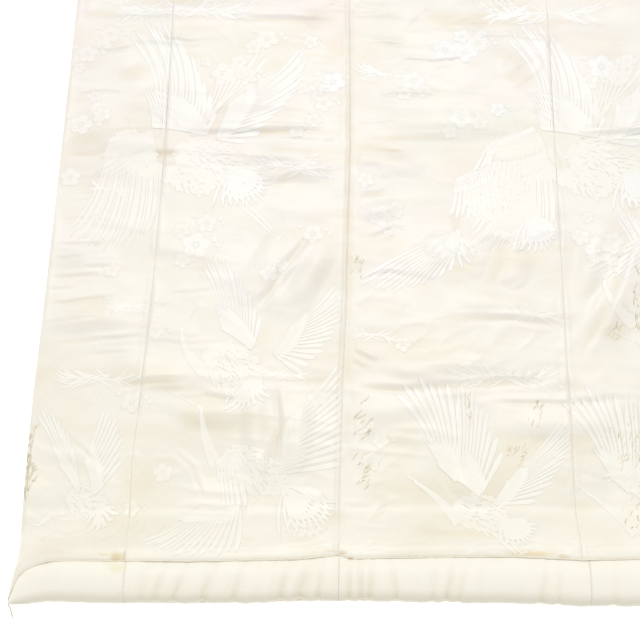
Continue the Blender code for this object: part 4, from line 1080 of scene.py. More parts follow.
# Three plies wound round one route: each is the route moved aside by spread at an angle that grows along it.
# Their last ends fray into short fine strands.
def looseThread():
    route = np.array([(-0.7526, -0.0684, 0.0027), (-0.7525, -0.0704, 0.0018), (-0.7506, -0.0735, 0.0012),
                      (-0.748, -0.079, 0.0011), (-0.7466, -0.0838, 0.0011), (-0.7463, -0.0858, 0.001)])
    t = np.linspace(0, len(route) - 1, 46)
    line = np.stack([np.interp(t, np.arange(len(route)), route[:, k]) for k in range(3)], -1)
    for _ in range(3):
        line[1:-1] = (line[:-2] + 2 * line[1:-1] + line[2:]) / 4
    line[:, 1] += hemY
    long = np.append(0, np.cumsum(np.linalg.norm(np.diff(line, axis=0), axis=1)))
    made, total = [], 0
    draw = np.random.default_rng(12)
    for ply in range(3):
        angle = long / loosePly["twist"] * 2 * math.pi + ply * 2 * math.pi / 3
        wound = line + loosePly["spread"] * np.stack([np.cos(angle), 0 * angle, np.sin(angle)], -1)
        made.append(tube(wound, loosePly["thick"] * np.interp(t, (0, 4, 5), (1.0, 1.0, 0.5))))
    for _ in range(loosePly["ends"]):
        aim = np.array([draw.normal(0, 0.55), -1.0, draw.normal(0.0, 0.15)])
        strand = line[-1] + np.linspace(-0.3, draw.uniform(0.5, 0.75), 6)[:, None] * aim * loosePly["endLength"]
        made.append(tube(strand, np.linspace(0.00016, 0.00004, 6)))
    points, faces = [], []
    for part, quads in made:
        points.append(part)
        faces += [[v + total for v in face] for face in quads]
        total += len(part)
    points = np.concatenate(points)
    points[:, 2] = np.maximum(points[:, 2], 0.0)
    piece = gridMesh("looseThread", points, faces, [threadSilk], uv=points[:, :2])
    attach(piece, "root")
    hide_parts("corner_thread")
    return piece


looseThread()

# sleeves

sleeveCut = {"width": 0.34, "length": 0.955, "cuff": 0.23, "spacing": 0.0062}


def sleeveFloor(half, h):  # the sleeve's underside: on the table, or lifted where it lies over the front
    beyond = smoothStep((half - foldLineHalf(h) - 0.036) / 0.04)
    above = smoothStep((h - foldTop - 0.036) / 0.04)
    return (lay["cloth"] + lay["foldExtra"] + lay["layerGap"]) * (1.0 - beyond) * (1.0 - above)


def sleeveOuter(h):
    corner = np.clip((bodyLength - sleeveCut["length"] + 0.035 - h) / 0.035, 0.0, 1.0)
    return shoulderHalf + sleeveCut["width"] - 0.022 * corner**2


# A sleeve: two thin leaves over one outline, the upper one with the soft ridges, closed by a half-round fold
# carried along the top, the bottom and the outer edge below the cuff.
def makeSleeve(word, side):
    name = "sleeve_" + word
    low = bodyLength - sleeveCut["length"]
    inner = shoulderHalf + lay["seamGap"]
    count = int(sleeveCut["length"] / sleeveCut["spacing"])
    rows = low + closeToEnds(sleeveCut["length"], sleeveCut["length"] / count, mesh["seamEnds"])
    h, share = np.meshgrid(rows, closeToEnds(1.0, 1.0 / int(sleeveCut["width"] / sleeveCut["spacing"]),
                                             (0.0, 0.004, 0.01, 0.018)), indexing="ij")
    outer = sleeveOuter(h)
    half = inner + share * (outer - inner)
    ground = sleeveFloor(half, h) + ridgeHeights(half, h, sleeveRidges)
    creased = creaseHeights(half, h, sleeveCreases)
    loose = looseHeights(side * half + 3.0 * side, h) + creased
    # painted light: positive in crease troughs, a painted shade; negative on the raised lips, a painted
    # highlight
    worn = np.clip(-(0.6 * creased + loose) / 0.0034, -0.5, 1.0)
    edge = np.minimum(np.minimum(half - inner, outer - half), np.minimum(h - low, bodyLength - h))
    loose = np.clip(loose * smoothStep(edge / 0.02), -0.0012, 0.005)
    roundEdge = np.sqrt(np.clip(1.0 - (1.0 - np.clip(edge / 0.0028, 0, 1)) ** 2, 0.0, 1.0))
    thick = 2 * lay["cloth"] + 0.001
    top = ground + thick * (0.45 + 0.55 * roundEdge) - 0.0003 + loose
    under = ground + 0.0001
    sheet = sheetMesh(clothName(name), side * half, h, top, under, [brocade, lining], worn)
    panels[name] = {"side": side, "rows": rows, "columns": share[0], "z": top, "name": name, "low": low + 0.01,
                    "inner": lambda level: np.full_like(level, inner), "outer": sleeveOuter}
    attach(sheet, "root")
    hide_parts(name)
    return sheet


sleeves = {word: makeSleeve(word, side) for word, side in (("left", -1), ("right", 1))}
print("sleeves laid")


# neck band

neckBand = {"width": 0.078, "top": 1.925, "clearance": 0.0035, "thick": 0.0036}


# The band's middle line runs from its hidden end up to the neck and round to the centre back. Each point of
# the band is that line's point moved sideways by up to half the width.
def makeCollar(word, side):
    lineH, lineHalf = np.array(collarLine["h"]), np.array(collarLine["half"])
    width = neckBand["width"]
    routeHalf = np.concatenate([lineHalf[:-1] - width * 0.52, [0.047, 0.034, 0.016, 0.0]])
    routeH = np.concatenate([lineH[:-1] + np.array([-0.02, -0.018, -0.014, -0.01, -0.004, 0.0, 0.0]),
                             [1.852, 1.874, 1.884, neckBand["top"] - width / 2]])
    long = np.concatenate([[0], np.cumsum(np.hypot(np.diff(routeHalf), np.diff(routeH)))])
    at = np.linspace(0.03, 1.0, 22) * long[-1]
    half, h = np.interp(at, long, routeHalf), np.interp(at, long, routeH)
    x = np.concatenate([-half, half[-2::-1]])
    h = np.concatenate([h, h[-2::-1]])
    for _ in range(4):
        x[1:-1] = (x[:-2] + 2 * x[1:-1] + x[2:]) / 4
        h[1:-1] = (h[:-2] + 2 * h[1:-1] + h[2:]) / 4
    fine = np.linspace(0, len(x) - 1, 4 * (len(x) - 1) + 1)
    x, h = np.interp(fine, np.arange(len(x)), x), np.interp(fine, np.arange(len(h)), h)
    for _ in range(6):
        x[1:-1] = (x[:-2] + 2 * x[1:-1] + x[2:]) / 4
        h[1:-1] = (h[:-2] + 2 * h[1:-1] + h[2:]) / 4
    runX, runH = np.gradient(x), np.gradient(h)
    size = np.hypot(runX, runH)
    across = np.linspace(-1, 1, 25)
    innerRoom = np.minimum(1.0, np.abs(x) / 0.03 + 0.42)
    reach = width / 2 * np.where(across[None, :] < 0, innerRoom[:, None], 1.0)
    gridX = x[:, None] - (runH / size)[:, None] * across[None, :] * reach
    gridH = h[:, None] + (runX / size)[:, None] * across[None, :] * reach
    gridH += (neckBand["top"] - gridH.max()) * smoothStep((gridH - 1.7) / 0.15)
    limit = fromTable(collarLine, "h", "half", gridH) - neckBand["clearance"]
    beside = (gridH < bodyLength + 0.006) & (np.abs(gridX) > limit)
    gridX = np.where(beside, np.sign(gridX) * limit, gridX)
    rows = (len(x) + 1) // 2
    gridX, gridH = -side * gridX[:rows], gridH[:rows]
    gridX[-1] = side * gap
    rounded = np.sqrt(np.clip(1.0 - np.abs(across) ** 10, 0.0, 1.0))[None, :]
    over = neckBand["thick"] * (0.5 + 0.5 * rounded) + np.zeros_like(gridX)
    over += 0.0016 * smoothStep((gridH - 1.878) / 0.02) * rounded
    over += 0.0003 * cloudNoise(gridX / 0.02, gridH / 0.012, 31) * rounded
    name = "collar_" + word
    band = sheetMesh(clothName(name), gridX, gridH, over, np.zeros_like(over), [brocade, lining])
    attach(band, "root")
    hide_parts(name)
    return band


collars = {word: makeCollar(word, side) for word, side in (("left", -1), ("right", 1))}
print("neck band laid")


# woven figures

figure = {
    "lift": 0.00012,  # how far the floats of a figure stand above the ground
    "crown": 0.00016,  # extra height along the middle of each float
    "stack": 0.00006,  # height added from the first to the last float of a fan
    "step": 0.0047,  # length of a float's segments
    "farStep": 0.009,  # the same outside the photograph's frame
    "nearShift": 450,  # cranes of the back moved up by less than this, in millimetres, are near
    "brightPine": 500,  # pine above this height, in millimetres, is bright
    "seamClear": 0.0007,  # a figure stops this far from a seam
    "hemClear": 0.0022,
}
widthShapes = {  # share of the full width at places from a strip's base to its tip
    "quill": ((0, 0.5, 0.78, 0.92, 1), (0.8, 0.96, 1.0, 0.74, 0.12)),
    "scale": ((0, 0.35, 0.7, 0.9, 1), (0.8, 1.0, 0.96, 0.66, 0.22)),
    "needle": ((0, 0.3, 0.8, 1), (0.55, 1.0, 0.75, 0.15)),
    "plume": ((0, 0.3, 0.7, 0.9, 1), (0.3, 0.75, 1.0, 0.8, 0.2)),
    "neck": ((0, 0.25, 0.8, 1), (1.0, 0.62, 0.42, 0.5)),
    "beak": ((0, 0.2, 1), (1.0, 0.8, 0.1)),
}
patterns = {name: [] for name in ("leftFront", "back", "rightFront", "leftSleeve", "rightSleeve")}


def between(points, t):  # quadratic curve by its first point, the one it bends towards, its last
    a, b, c = (np.array(p) for p in metres(points))
    t = np.asarray(t)[..., None]
    return (1 - t) ** 2 * a + 2 * t * (1 - t) * b + t**2 * c


def gridTris(rows, columns, count, closed=False):
    index = np.arange(rows * columns).reshape(rows, columns)
    after = np.roll(index, -1, axis=1) if closed else index[:, 1:]
    here = index if closed else index[:, :-1]
    a, b, c, d = here[:-1], after[:-1], after[1:], here[1:]
    tris = np.concatenate([np.stack([a, b, c], -1).reshape(-1, 3), np.stack([a, c, d], -1).reshape(-1, 3)])
    return (tris[None] + (np.arange(count) * rows * columns)[:, None, None]).reshape(-1, 3)


# Strips: the middle line is a quadratic curve from base to tip, bent aside by bend times its length, and the
# half width is width / 2 times a shape's share, less towards a narrow root. Each strip is crowned and lies a
# little above the one before.
def strips(base, tip, bend, width, shape, tone=1.0, slot=0, lift=0.0, root=1.0, rootTone=1.0):
    base, tip = np.atleast_2d(np.array(base, float)), np.atleast_2d(np.array(tip, float))
    count = len(base)
    bend, width, tone = (np.broadcast_to(np.array(v, float), (count,)) for v in (bend, width, tone))
    along = tip - base
    long = np.hypot(along[:, 0], along[:, 1])
    steps = max(4, int(np.percentile(long, 80) / figure["step"]) + 2)
    t = np.linspace(0, 1, steps)
    control = (base + tip) / 2 + np.stack([-along[:, 1], along[:, 0]], -1) * bend[:, None]
    u = t[None, :, None]
    centre = (1 - u) ** 2 * base[:, None] + 2 * u * (1 - u) * control[:, None] + u**2 * tip[:, None]
    run = (1 - u) * (control - base)[:, None] + u * (tip - control)[:, None]
    run = run / np.maximum(np.linalg.norm(run, axis=-1, keepdims=True), 1e-9)
    normal = np.stack([-run[..., 1], run[..., 0]], -1)
    root = np.broadcast_to(np.array(root, float), (count,))[:, None]
    half = width[:, None] / 2 * np.interp(t, *widthShapes[shape])[None] * (root + (1 - root) * t[None])
    across = np.array([-1.0, 0.0, 1.0])
    flat = centre[:, :, None] + normal[:, :, None] * (half[:, :, None] * across)[..., None]
    rank = np.linspace(0, 1, count)[:, None, None]
    height = lift + figure["stack"] * rank + figure["crown"] * (1 - np.abs(across)) + np.zeros(flat.shape[:3])
    v = 0.4 + 0.2 * across + 0 * flat[..., 0]
    if shape not in ("needle", "beak"):
        v = np.sign(across) + (across == 0) * 0.9 * (t**7)[None, :, None] + 0 * flat[..., 0]
    uv = np.stack([long[:, None, None] * t[None, :, None] + 0 * across, v], -1)
    paling = np.interp(t, (0, 0.5, 1), (rootTone, 0.35 + 0.65 * rootTone, 1))
    tris = gridTris(steps, 3, count)
    return {"flat": flat.reshape(-1, 2), "lift": height.ravel(), "uv": uv.reshape(-1, 2),
            "tone": np.repeat((tone[:, None] * paling).ravel(), 3), "tris": tris,
            "slot": np.full(len(tris), slot, np.int32)}


# Round petals and dots: rings of points at shares of the radius round each centre.
def rounds(centres, radii, tone=1.0, lift=0.0, slot=0, inner=0.0):
    centres = np.atleast_2d(np.array(centres, float))
    count = len(centres)
    radii = np.broadcast_to(np.array(radii, float), (count,))
    tone = np.broadcast_to(np.array(tone, float), (count,))
    shares = np.array([max(inner, 0.02), 0.5 * (1 + inner) if inner else 0.55, 1.0])
    angle = np.linspace(0, 2 * math.pi, 13)[:-1]
    ring = np.stack([np.cos(angle), np.sin(angle)], -1)[None, None] * shares[None, :, None, None]
    flat = centres[:, None, None] + ring * radii[:, None, None, None]
    rise = np.array([0.6, 1.0, 0.0])[None, :, None] * figure["crown"]
    height = lift + rise + np.zeros(flat.shape[:3])
    across = (shares - inner) / (1 - inner) * 2 - 1 if inner else shares
    v = np.broadcast_to(across[None, :, None], height.shape)
    uv = np.stack([np.broadcast_to(angle[None, None] * 0.01, height.shape), v], -1)
    tris = gridTris(3, 12, count, closed=True)[:, ::-1]
    return {"flat": flat.reshape(-1, 2), "lift": height.ravel(), "uv": uv.reshape(-1, 2),
            "tone": np.repeat(tone, 36), "tris": tris, "slot": np.full(len(tris), slot, np.int32)}


# A fan of feathers: feather i runs from the arm, start + (end - start) * s, to a point of the curve of tips,
# s = (i / last)^packing. Its width is the gap to its neighbours' tips. Two shorter rows lie over its root.
def fan(end, start, tips, count, bend, packing=1.0, tone=1.0, fill=0.8, rows=True):
    s = np.linspace(0, 1, count) ** packing
    end, start = np.array(metres((end, start)))
    base = end + (start - end) * s[:, None]
    tip = between(tips, s)
    sway = 1 + 0.05 * np.sin(np.arange(count) * 2.4)[:, None]
    tip = base + (tip - base) * sway
    aside = (tip - base) / np.linalg.norm(tip - base, axis=1, keepdims=True)
    gaps = [np.abs(g[:, 0] * aside[:, 1] - g[:, 1] * aside[:, 0]) * fill
            for g in (np.gradient(between(tips, s), axis=0), np.gradient(base, axis=0))]
    width = np.clip(gaps[0], 0.0024, 0.011)
    bends = bend * (1 - 0.5 * s)
    made = [strips(base, tip, bends, width, "quill", root=np.clip(gaps[1] / width, 0.25, 1.0),
                   tone=tone * (0.9 + 0.1 * np.cos(np.arange(count) * 1.9)), rootTone=0.5)]
    along = (start - end) / np.linalg.norm(start - end)
    inward = np.array([-along[1], along[0]])
    inward = inward * np.sign(((tip - base).mean(axis=0) @ inward)) * 0.0026
    arms = np.array([0.0, 1.0, 2.0])[:, None] * inward - inward * 0.3
    made.append(strips(end + arms, start + arms, 0.04, 0.0048, "neck", tone=tone * np.array([0.5, 0.8, 0.6]),
                       lift=0.00026))
    if rows:
        for reach, more, dim, up in ((0.38, 1.25, 0.8, 0.0001), (0.2, 1.5, 0.62, 0.0002)):
            number = int(count * more)
            s2 = np.linspace(0, 1, number) ** packing
            base2 = end + (start - end) * s2[:, None]
            full = between(tips, s2) - base2
            tip2 = base2 + full * reach
            width2 = np.clip(np.linalg.norm(np.gradient(tip2, axis=0), axis=1) * 0.82, 0.0022, 0.009)
            made.append(strips(base2, tip2, bend * 0.8, width2, "scale", tone=dim * tone, lift=up, rootTone=0.6))
    return made


# A lens-shaped body of small overlapping feathers: rows run from a to b and spread to half its width, places
# and sizes wander, and the brightness fades towards its rim.
def scales(a, b, radius, tone=0.55, size=8.5):
    a, b = np.array(metres((a, b)))
    radius, size = metres((radius, size))
    along = b - a
    long = np.linalg.norm(along)
    along = along / long
    side = np.array([-along[1], along[0]])
    rows = max(3, int(long / (size * 0.62)))
    across = max(2, int(2 * radius / (size * 0.62)))
    i, j = np.meshgrid(np.arange(rows), np.arange(across), indexing="ij")
    draw = np.random.default_rng(int(abs(a[0]) * 1e4))
    place = (i + 0.5 + draw.uniform(-0.28, 0.28, i.shape)) / rows
    spread = np.sqrt(np.clip(1 - (2 * place - 1) ** 2, 0.02, 1))
    offset = (j + 0.5 * (i % 2) + draw.uniform(-0.25, 0.25, i.shape)) / (across - 0.5) * 2 - 1
    offset = offset * radius * spread
    base = a + along * (place * long)[..., None] + side * offset[..., None]
    keep = (np.abs(offset) < radius).ravel()
    base, offset, place = base.reshape(-1, 2)[keep], offset.ravel()[keep], place.ravel()[keep]
    fanned = along + side * (offset / radius * 0.55 + draw.normal(0, 0.12, len(offset)))[:, None]
    rim = np.clip(1.15 - np.hypot(offset / radius, 2 * place - 1), 0.0, 0.6) / 0.6
    length = size * draw.uniform(0.85, 1.5, len(offset))[:, None]
    shades = tone * (0.35 + 0.65 * rim) * draw.uniform(0.7, 1.1, len(offset))
    return [strips(base, base + fanned * length, draw.normal(0, 0.12, len(offset)), size * 0.66, "scale",
                   tone=shades, rootTone=0.7)]


# A plume: curved slim feathers from one root to places round the tips' curve, bent alternately.
def tuft(root, tips, count, tone=0.8):
    s = np.linspace(0, 1, count)
    base = np.array(metres(root)) + 0.004 * np.stack([np.cos(s * 7), np.sin(s * 7)], -1)
    tip = between(tips, s)
    tip = base + (tip - base) * (0.72 + 0.28 * np.abs(np.sin(np.arange(count) * 1.7)))[:, None]
    bend = np.where(np.arange(count) % 2 == 0, 0.2, -0.16)
    return [strips(base, tip, bend, 0.0052, "plume", tone=tone, lift=0.00016)]


def legsOf(top, foot, tone=0.8):
    top, foot = np.array(metres((top, foot)))
    run = foot - top
    side = np.array([-run[1], run[0]]) / np.linalg.norm(run) * 0.0045
    tops, feet = np.array([top + side, top - side]), np.array([foot + side * 0.6, foot - side * 0.6])
    toes = np.repeat(feet, 3, axis=0)
    spread = np.tile(np.array([-0.9, 0.0, 0.9]), 2)
    turn = np.stack([run[0] * np.cos(spread) - run[1] * np.sin(spread),
                     run[0] * np.sin(spread) + run[1] * np.cos(spread)], -1) / np.linalg.norm(run) * 0.012
    return [strips(tops, feet, 0.02, 0.003, "needle", tone=tone),
            strips(toes, toes + turn, 0.1, 0.002, "needle", tone=tone)]


# A head on a neck that narrows: six strands side by side, a slim head and a beak.
def headOf(root, head, beak, bend, width=16, tone=0.9):
    root, head, beak = np.array(metres((root, head, beak)))
    width = metres(width)
    run = head - root
    aside = np.array([-run[1], run[0]]) / np.linalg.norm(run)
    share = np.linspace(-1, 1, 6)
    base = root + aside * (share * width * 0.5)[:, None]
    tips = head + aside * (share * 0.0012)[:, None]
    shades = tone * np.array([1.0, 0.62, 0.86, 0.6, 0.9, 0.7])
    crown = head + (beak - head) * 0.14
    return [strips(base, tips, bend, width * 0.25, "neck", tone=shades, rootTone=0.55),
            strips(head - run * 0.05, crown, bend * 0.5, 0.006, "scale", tone=tone, lift=0.0001),
            strips(crown, beak, 0.04, 0.0026, "beak", tone=tone * 0.9, lift=0.0001)]


# Pine: bundles of needles along a branch, pointing outwards along it and leaning away from its line.
def pine(a, b, count, size, seed, tone=0.9):
    draw = np.random.default_rng(seed)
    a, b = np.array(metres((a, b)))
    run = (b - a) / np.linalg.norm(b - a)
    s = draw.uniform(0.12, 0.88, count)
    base = a + (b - a) * s[:, None]
    heading = np.where(s + draw.normal(0, 0.12, count) < 0.5, -1.0, 1.0)
    lean = draw.normal(0, 0.3, count)
    lean = lean + np.where(lean > 0, 0.22, -0.22)
    cos, sin = np.cos(lean), np.sin(lean)
    turned = np.stack([run[0] * cos - run[1] * sin, run[0] * sin + run[1] * cos], -1)
    tip = base + turned * heading[:, None] * (metres(size) * draw.uniform(0.5, 1.0, count))[:, None]
    needles = strips(base, tip, draw.normal(0, 0.14, count), draw.uniform(0.0016, 0.0032, count), "needle",
                     tone=tone * draw.uniform(0.7, 1.0, count))
    return [needles, strips(a + (b - a) * 0.15, a + (b - a) * 0.85, 0.03, 0.003, "needle", tone=tone * 0.9)]


# Plum blossoms: five round petals at equal angles, each with a raised rim, a small middle and eight stamens.
def blossom(x, h, radius, turn=0.3, tone=0.8, buds=()):
    x, h, radius = metres((x, h, radius))
    angle = turn + np.arange(5) * 2 * math.pi / 5
    ring = np.stack([np.cos(angle), np.sin(angle)], -1)
    centre = np.array([x, h])
    petals = centre + ring * radius * 0.6
    stalk = turn + 0.3 + np.arange(8) * math.pi / 4
    ends = centre + np.stack([np.cos(stalk), np.sin(stalk)], -1) * radius * 0.52
    filled = tone * (0.4 + 0.55 * float(smoothStep((tone - 0.5) / 0.35)))
    made = [rounds(petals, radius * 0.44, filled), rounds(petals, radius * 0.44, tone, 0.00006, inner=0.8),
            rounds(centre, radius * 0.17, tone, 0.0001), rounds(ends, radius * 0.055, tone, 0.0001),
            strips(np.repeat(centre[None], 8, 0), ends, 0.0, 0.0011, "needle", tone=tone, lift=0.0001)]
    if len(buds):
        spots = centre + np.array(buds, float) * radius
        made += [rounds(spots, radius * 0.26, tone * 0.4),
                 rounds(spots, radius * 0.26, tone, 0.00006, inner=0.7)]
    return made


# Short stray floats scattered over a box, all leaning about one way.
def floats(box, count, lean, seed, long):
    draw = np.random.default_rng(seed)
    x0, x1, h0, h1, long = metres((*box, long))
    base = np.stack([draw.uniform(x0, x1, count), draw.uniform(h0, h1, count)], -1)
    angle = lean + draw.normal(0, 0.22, count)
    tip = base + np.stack([np.cos(angle), np.sin(angle)], -1) * (long * draw.uniform(0.4, 1, count))[:, None]
    return [strips(base, tip, draw.normal(0, 0.1, count), 0.001, "needle", slot=1, lift=0.0004)]


def shifted(batches, dx, dh):
    return [{**batch, "flat": batch["flat"] + metres((dx, dh))} for batch in batches]


# The cranes, in millimetres.
def craneA():  # wings raised, landing towards the lower right
    made = fan((-612, 648), (-532, 634), ((-658, 806), (-600, 892), (-516, 672)), 16, -0.27, 1.05)
    made += fan((-492, 692), (-512, 628), ((-388, 790), (-345, 745), (-462, 622)), 16, -0.17)
    made += fan((-505, 690), (-548, 630), ((-440, 772), (-500, 800), (-530, 700)), 8, -0.05,
                tone=0.36, rows=False)
    made += scales((-575, 612), (-470, 566), 34) + scales((-585, 575), (-520, 545), 20)
    made += headOf((-575, 556), (-632, 632), (-652, 664), 0.16, width=20)
    made += tuft((-492, 568), ((-424, 566), (-420, 500), (-512, 512)), 24)
    made += legsOf((-470, 520), (-414, 464))
    return made


def craneB():  # smaller, wings up, looking back
    made = fan((-490, 322), (-446, 290), ((-522, 418), (-492, 460), (-436, 340)), 14, -0.15)
    made += fan((-388, 326), (-414, 284), ((-328, 390), (-296, 335), (-372, 256)), 15, -0.12, tone=0.6)
    made += scales((-512, 290), (-438, 240), 32, size=8.5)
    made += headOf((-505, 252), (-548, 318), (-526, 352), 0.22, width=18)
    made += tuft((-452, 244), ((-410, 222), (-440, 190), (-486, 200)), 16, tone=0.62)
    return made


def craneC():  # gliding down, one wing forward and one back
    made = headOf((-486, 120), (-512, 204), (-566, 230), 0.12, width=16, tone=0.8)
    made += fan((-395, 178), (-400, 112), ((-322, 268), (-292, 215), (-312, 128)), 13, -0.06,
                tone=0.66)
    made += fan((-506, 64), (-452, 66), ((-582, 12), (-535, -14), (-452, 0)), 14, 0.14,
                tone=0.7)
    made += fan((-488, 128), (-458, 140), ((-474, 52), (-455, 30), (-424, 100)), 7, 0.1,
                tone=0.85)
    made += scales((-480, 140), (-400, 95), 26)
    made += tuft((-395, 92), ((-318, 80), (-312, 12), (-395, 20)), 22, tone=0.55)
    return made


def craneD():  # diving, long trailing wing
    made = fan((-146, 478), (-152, 446), ((-292, 398), (-250, 360), (-162, 412)), 13, -0.06)
    made += fan((-30, 650), (-100, 622), ((-14, 560), (-70, 540), (-128, 566)), 14, 0.08)
    made += fan((-150, 560), (-100, 585), ((-160, 500), (-120, 485), (-85, 520)), 10, 0.1)
    made += scales((-135, 552), (-40, 500), 40) + scales((-100, 500), (-50, 470), 22)
    made += headOf((-100, 545), (-94, 618), (-72, 648), 0.1, width=14)
    made += tuft((-45, 500), ((4, 480), (0, 440), (-70, 440)), 20)
    made += tuft((-150, 470), ((-150, 420), (-130, 410), (-120, 440)), 6, tone=0.8)
    return made


def craneE():  # rising, wings spread in a wide arc
    made = fan((-182, 126), (-160, 104), ((-242, 228), (-206, 272), (-156, 226)), 8, -0.16,
               tone=0.92)
    made += fan((-158, 108), (-130, 84), ((-156, 236), (-126, 246), (-96, 146)), 10, -0.08,
                tone=0.88)
    made += fan((-88, 106), (-110, 74), ((-10, 196), (26, 166), (-50, 80)), 14, -0.07,
                tone=0.88)
    made += scales((-165, 72), (-95, 46), 24, size=8)
    made += headOf((-158, 46), (-214, 102), (-240, 126), -0.12, width=14, tone=0.85)
    made += tuft((-102, 48), ((-52, 52), (-50, 8), (-104, 14)), 20, tone=0.6)
    made += legsOf((-108, 30), (-82, 3))
    return made


def craneF():  # wing hanging down beside the body
    made = fan((-676, 622), (-612, 640), ((-724, 470), (-660, 420), (-598, 486)), 26, 0.16,
               tone=0.55, fill=0.92)
    made += scales((-660, 640), (-610, 570), 22, tone=0.62)
    return made


def craneG():  # small, both wings straight up
    made = fan((-702, 120), (-674, 80), ((-742, 190), (-722, 210), (-690, 150)), 8, -0.1, tone=0.8)
    made += fan((-668, 126), (-652, 78), ((-648, 202), (-620, 196), (-618, 128)), 9, -0.05,
                tone=0.86)
    made += scales((-690, 80), (-640, 62), 18, size=8)
    made += headOf((-690, 56), (-722, 34), (-742, 40), -0.2, width=12, tone=0.85)
    made += tuft((-645, 60), ((-612, 60), (-620, 20), (-662, 24)), 12, tone=0.5)
    return made


# All seven cranes with floats cut into segments of one length.
def drawCranes(step):
    nearStep, figure["step"] = figure["step"], step
    cranes = (craneA, craneB, craneC, craneD, craneE, craneF, craneG)
    drawn = {letter: crane() for letter, crane in zip("ABCDEFG", cranes)}
    figure["step"] = nearStep
    return drawn


nearCranes, farCranes = drawCranes(figure["step"]), drawCranes(figure["farStep"])

layout = {  # what lies where: crane, shift in x and in h, in millimetres
    "leftFront": (
        ("A", 0, 0), ("F", 0, 0), ("B", 0, 0), ("C", 0, 0), ("G", 0, 0),
    ),
    "back": (
        ("A", 592, 0), ("D", 0, 0), ("E", 0, 0), ("E", 232, -12), ("B", 606, 80), ("F", 590, 0),
        ("C", 620, 100), ("D", 330, 20), ("A", 300, 500), ("D", 60, 640), ("B", 660, 860), ("E", 20, 860),
        ("C", 560, 1230), ("E", 200, 1300), ("B", 330, 1160), ("A", 680, 640),
    ),
    "rightFront": (
        ("A", 1020, 0), ("B", 1140, 80), ("C", 960, 40), ("B", 920, 150), ("G", 1330, 260), ("D", 800, 0),
        ("E", 780, 20), ("G", 1260, 30),
    ),
    "leftSleeve": (
        ("A", 30, 560), ("B", -10, 760), ("C", -60, 1240), ("B", 60, 1450),
    ),
    "rightSleeve": (
        ("A", 1020, 900), ("B", 980, 920), ("C", 940, 1090), ("B", 1060, 1430),
    ),
}
for patch, placed in layout.items():
    for name, dx, dh in placed:
        near = patch == "leftFront" or (patch == "back" and dh < figure["nearShift"])
        patterns[patch] += shifted((nearCranes if near else farCranes)[name], dx, dh)

branches = {  # pine branches: ends, number of needles, length of a needle, in millimetres
    "leftFront": (
        ((-690, 853), (-455, 856), 150, 50), ((-455, 586), (-338, 570), 60, 45),
        ((-655, 355), (-590, 350), 36, 30), ((-712, 246), (-600, 238), 60, 36),
        ((-430, 254), (-365, 250), 36, 28), ((-700, 545), (-640, 535), 20, 30),
    ),
    "back": (
        ((-112, 852), (85, 854), 130, 50), ((-300, 752), (-216, 733), 46, 34), ((-165, 252), (-8, 254), 90, 40),
        ((-70, 350), (-6, 340), 34, 32), ((-297, 314), (-246, 312), 26, 26), ((120, 300), (250, 290), 60, 40),
        ((100, 120), (220, 110), 50, 36), ((-230, 1190), (-60, 1200), 90, 48),
        ((80, 1400), (240, 1390), 90, 46), ((-250, 1600), (-100, 1610), 70, 44),
    ),
    "rightFront": (
        ((360, 852), (560, 858), 120, 50), ((400, 560), (520, 566), 60, 42), ((620, 420), (735, 412), 56, 40),
        ((350, 240), (470, 236), 60, 40), ((640, 100), (735, 94), 40, 34),
    ),
    "leftSleeve": (
        ((-640, 1200), (-480, 1190), 90, 46), ((-560, 1740), (-420, 1750), 80, 46),
    ),
    "rightSleeve": (
        ((400, 1260), (560, 1250), 90, 46), ((480, 1780), (620, 1790), 80, 46),
    ),
}
for patch, placed in branches.items():
    for k, (a, b, count, size) in enumerate(placed):
        patterns[patch] += pine(a, b, int(count * 0.7), size, seed=40 + 7 * k + len(patch),
                                tone=1.0 if a[1] > figure["brightPine"] else 0.6)

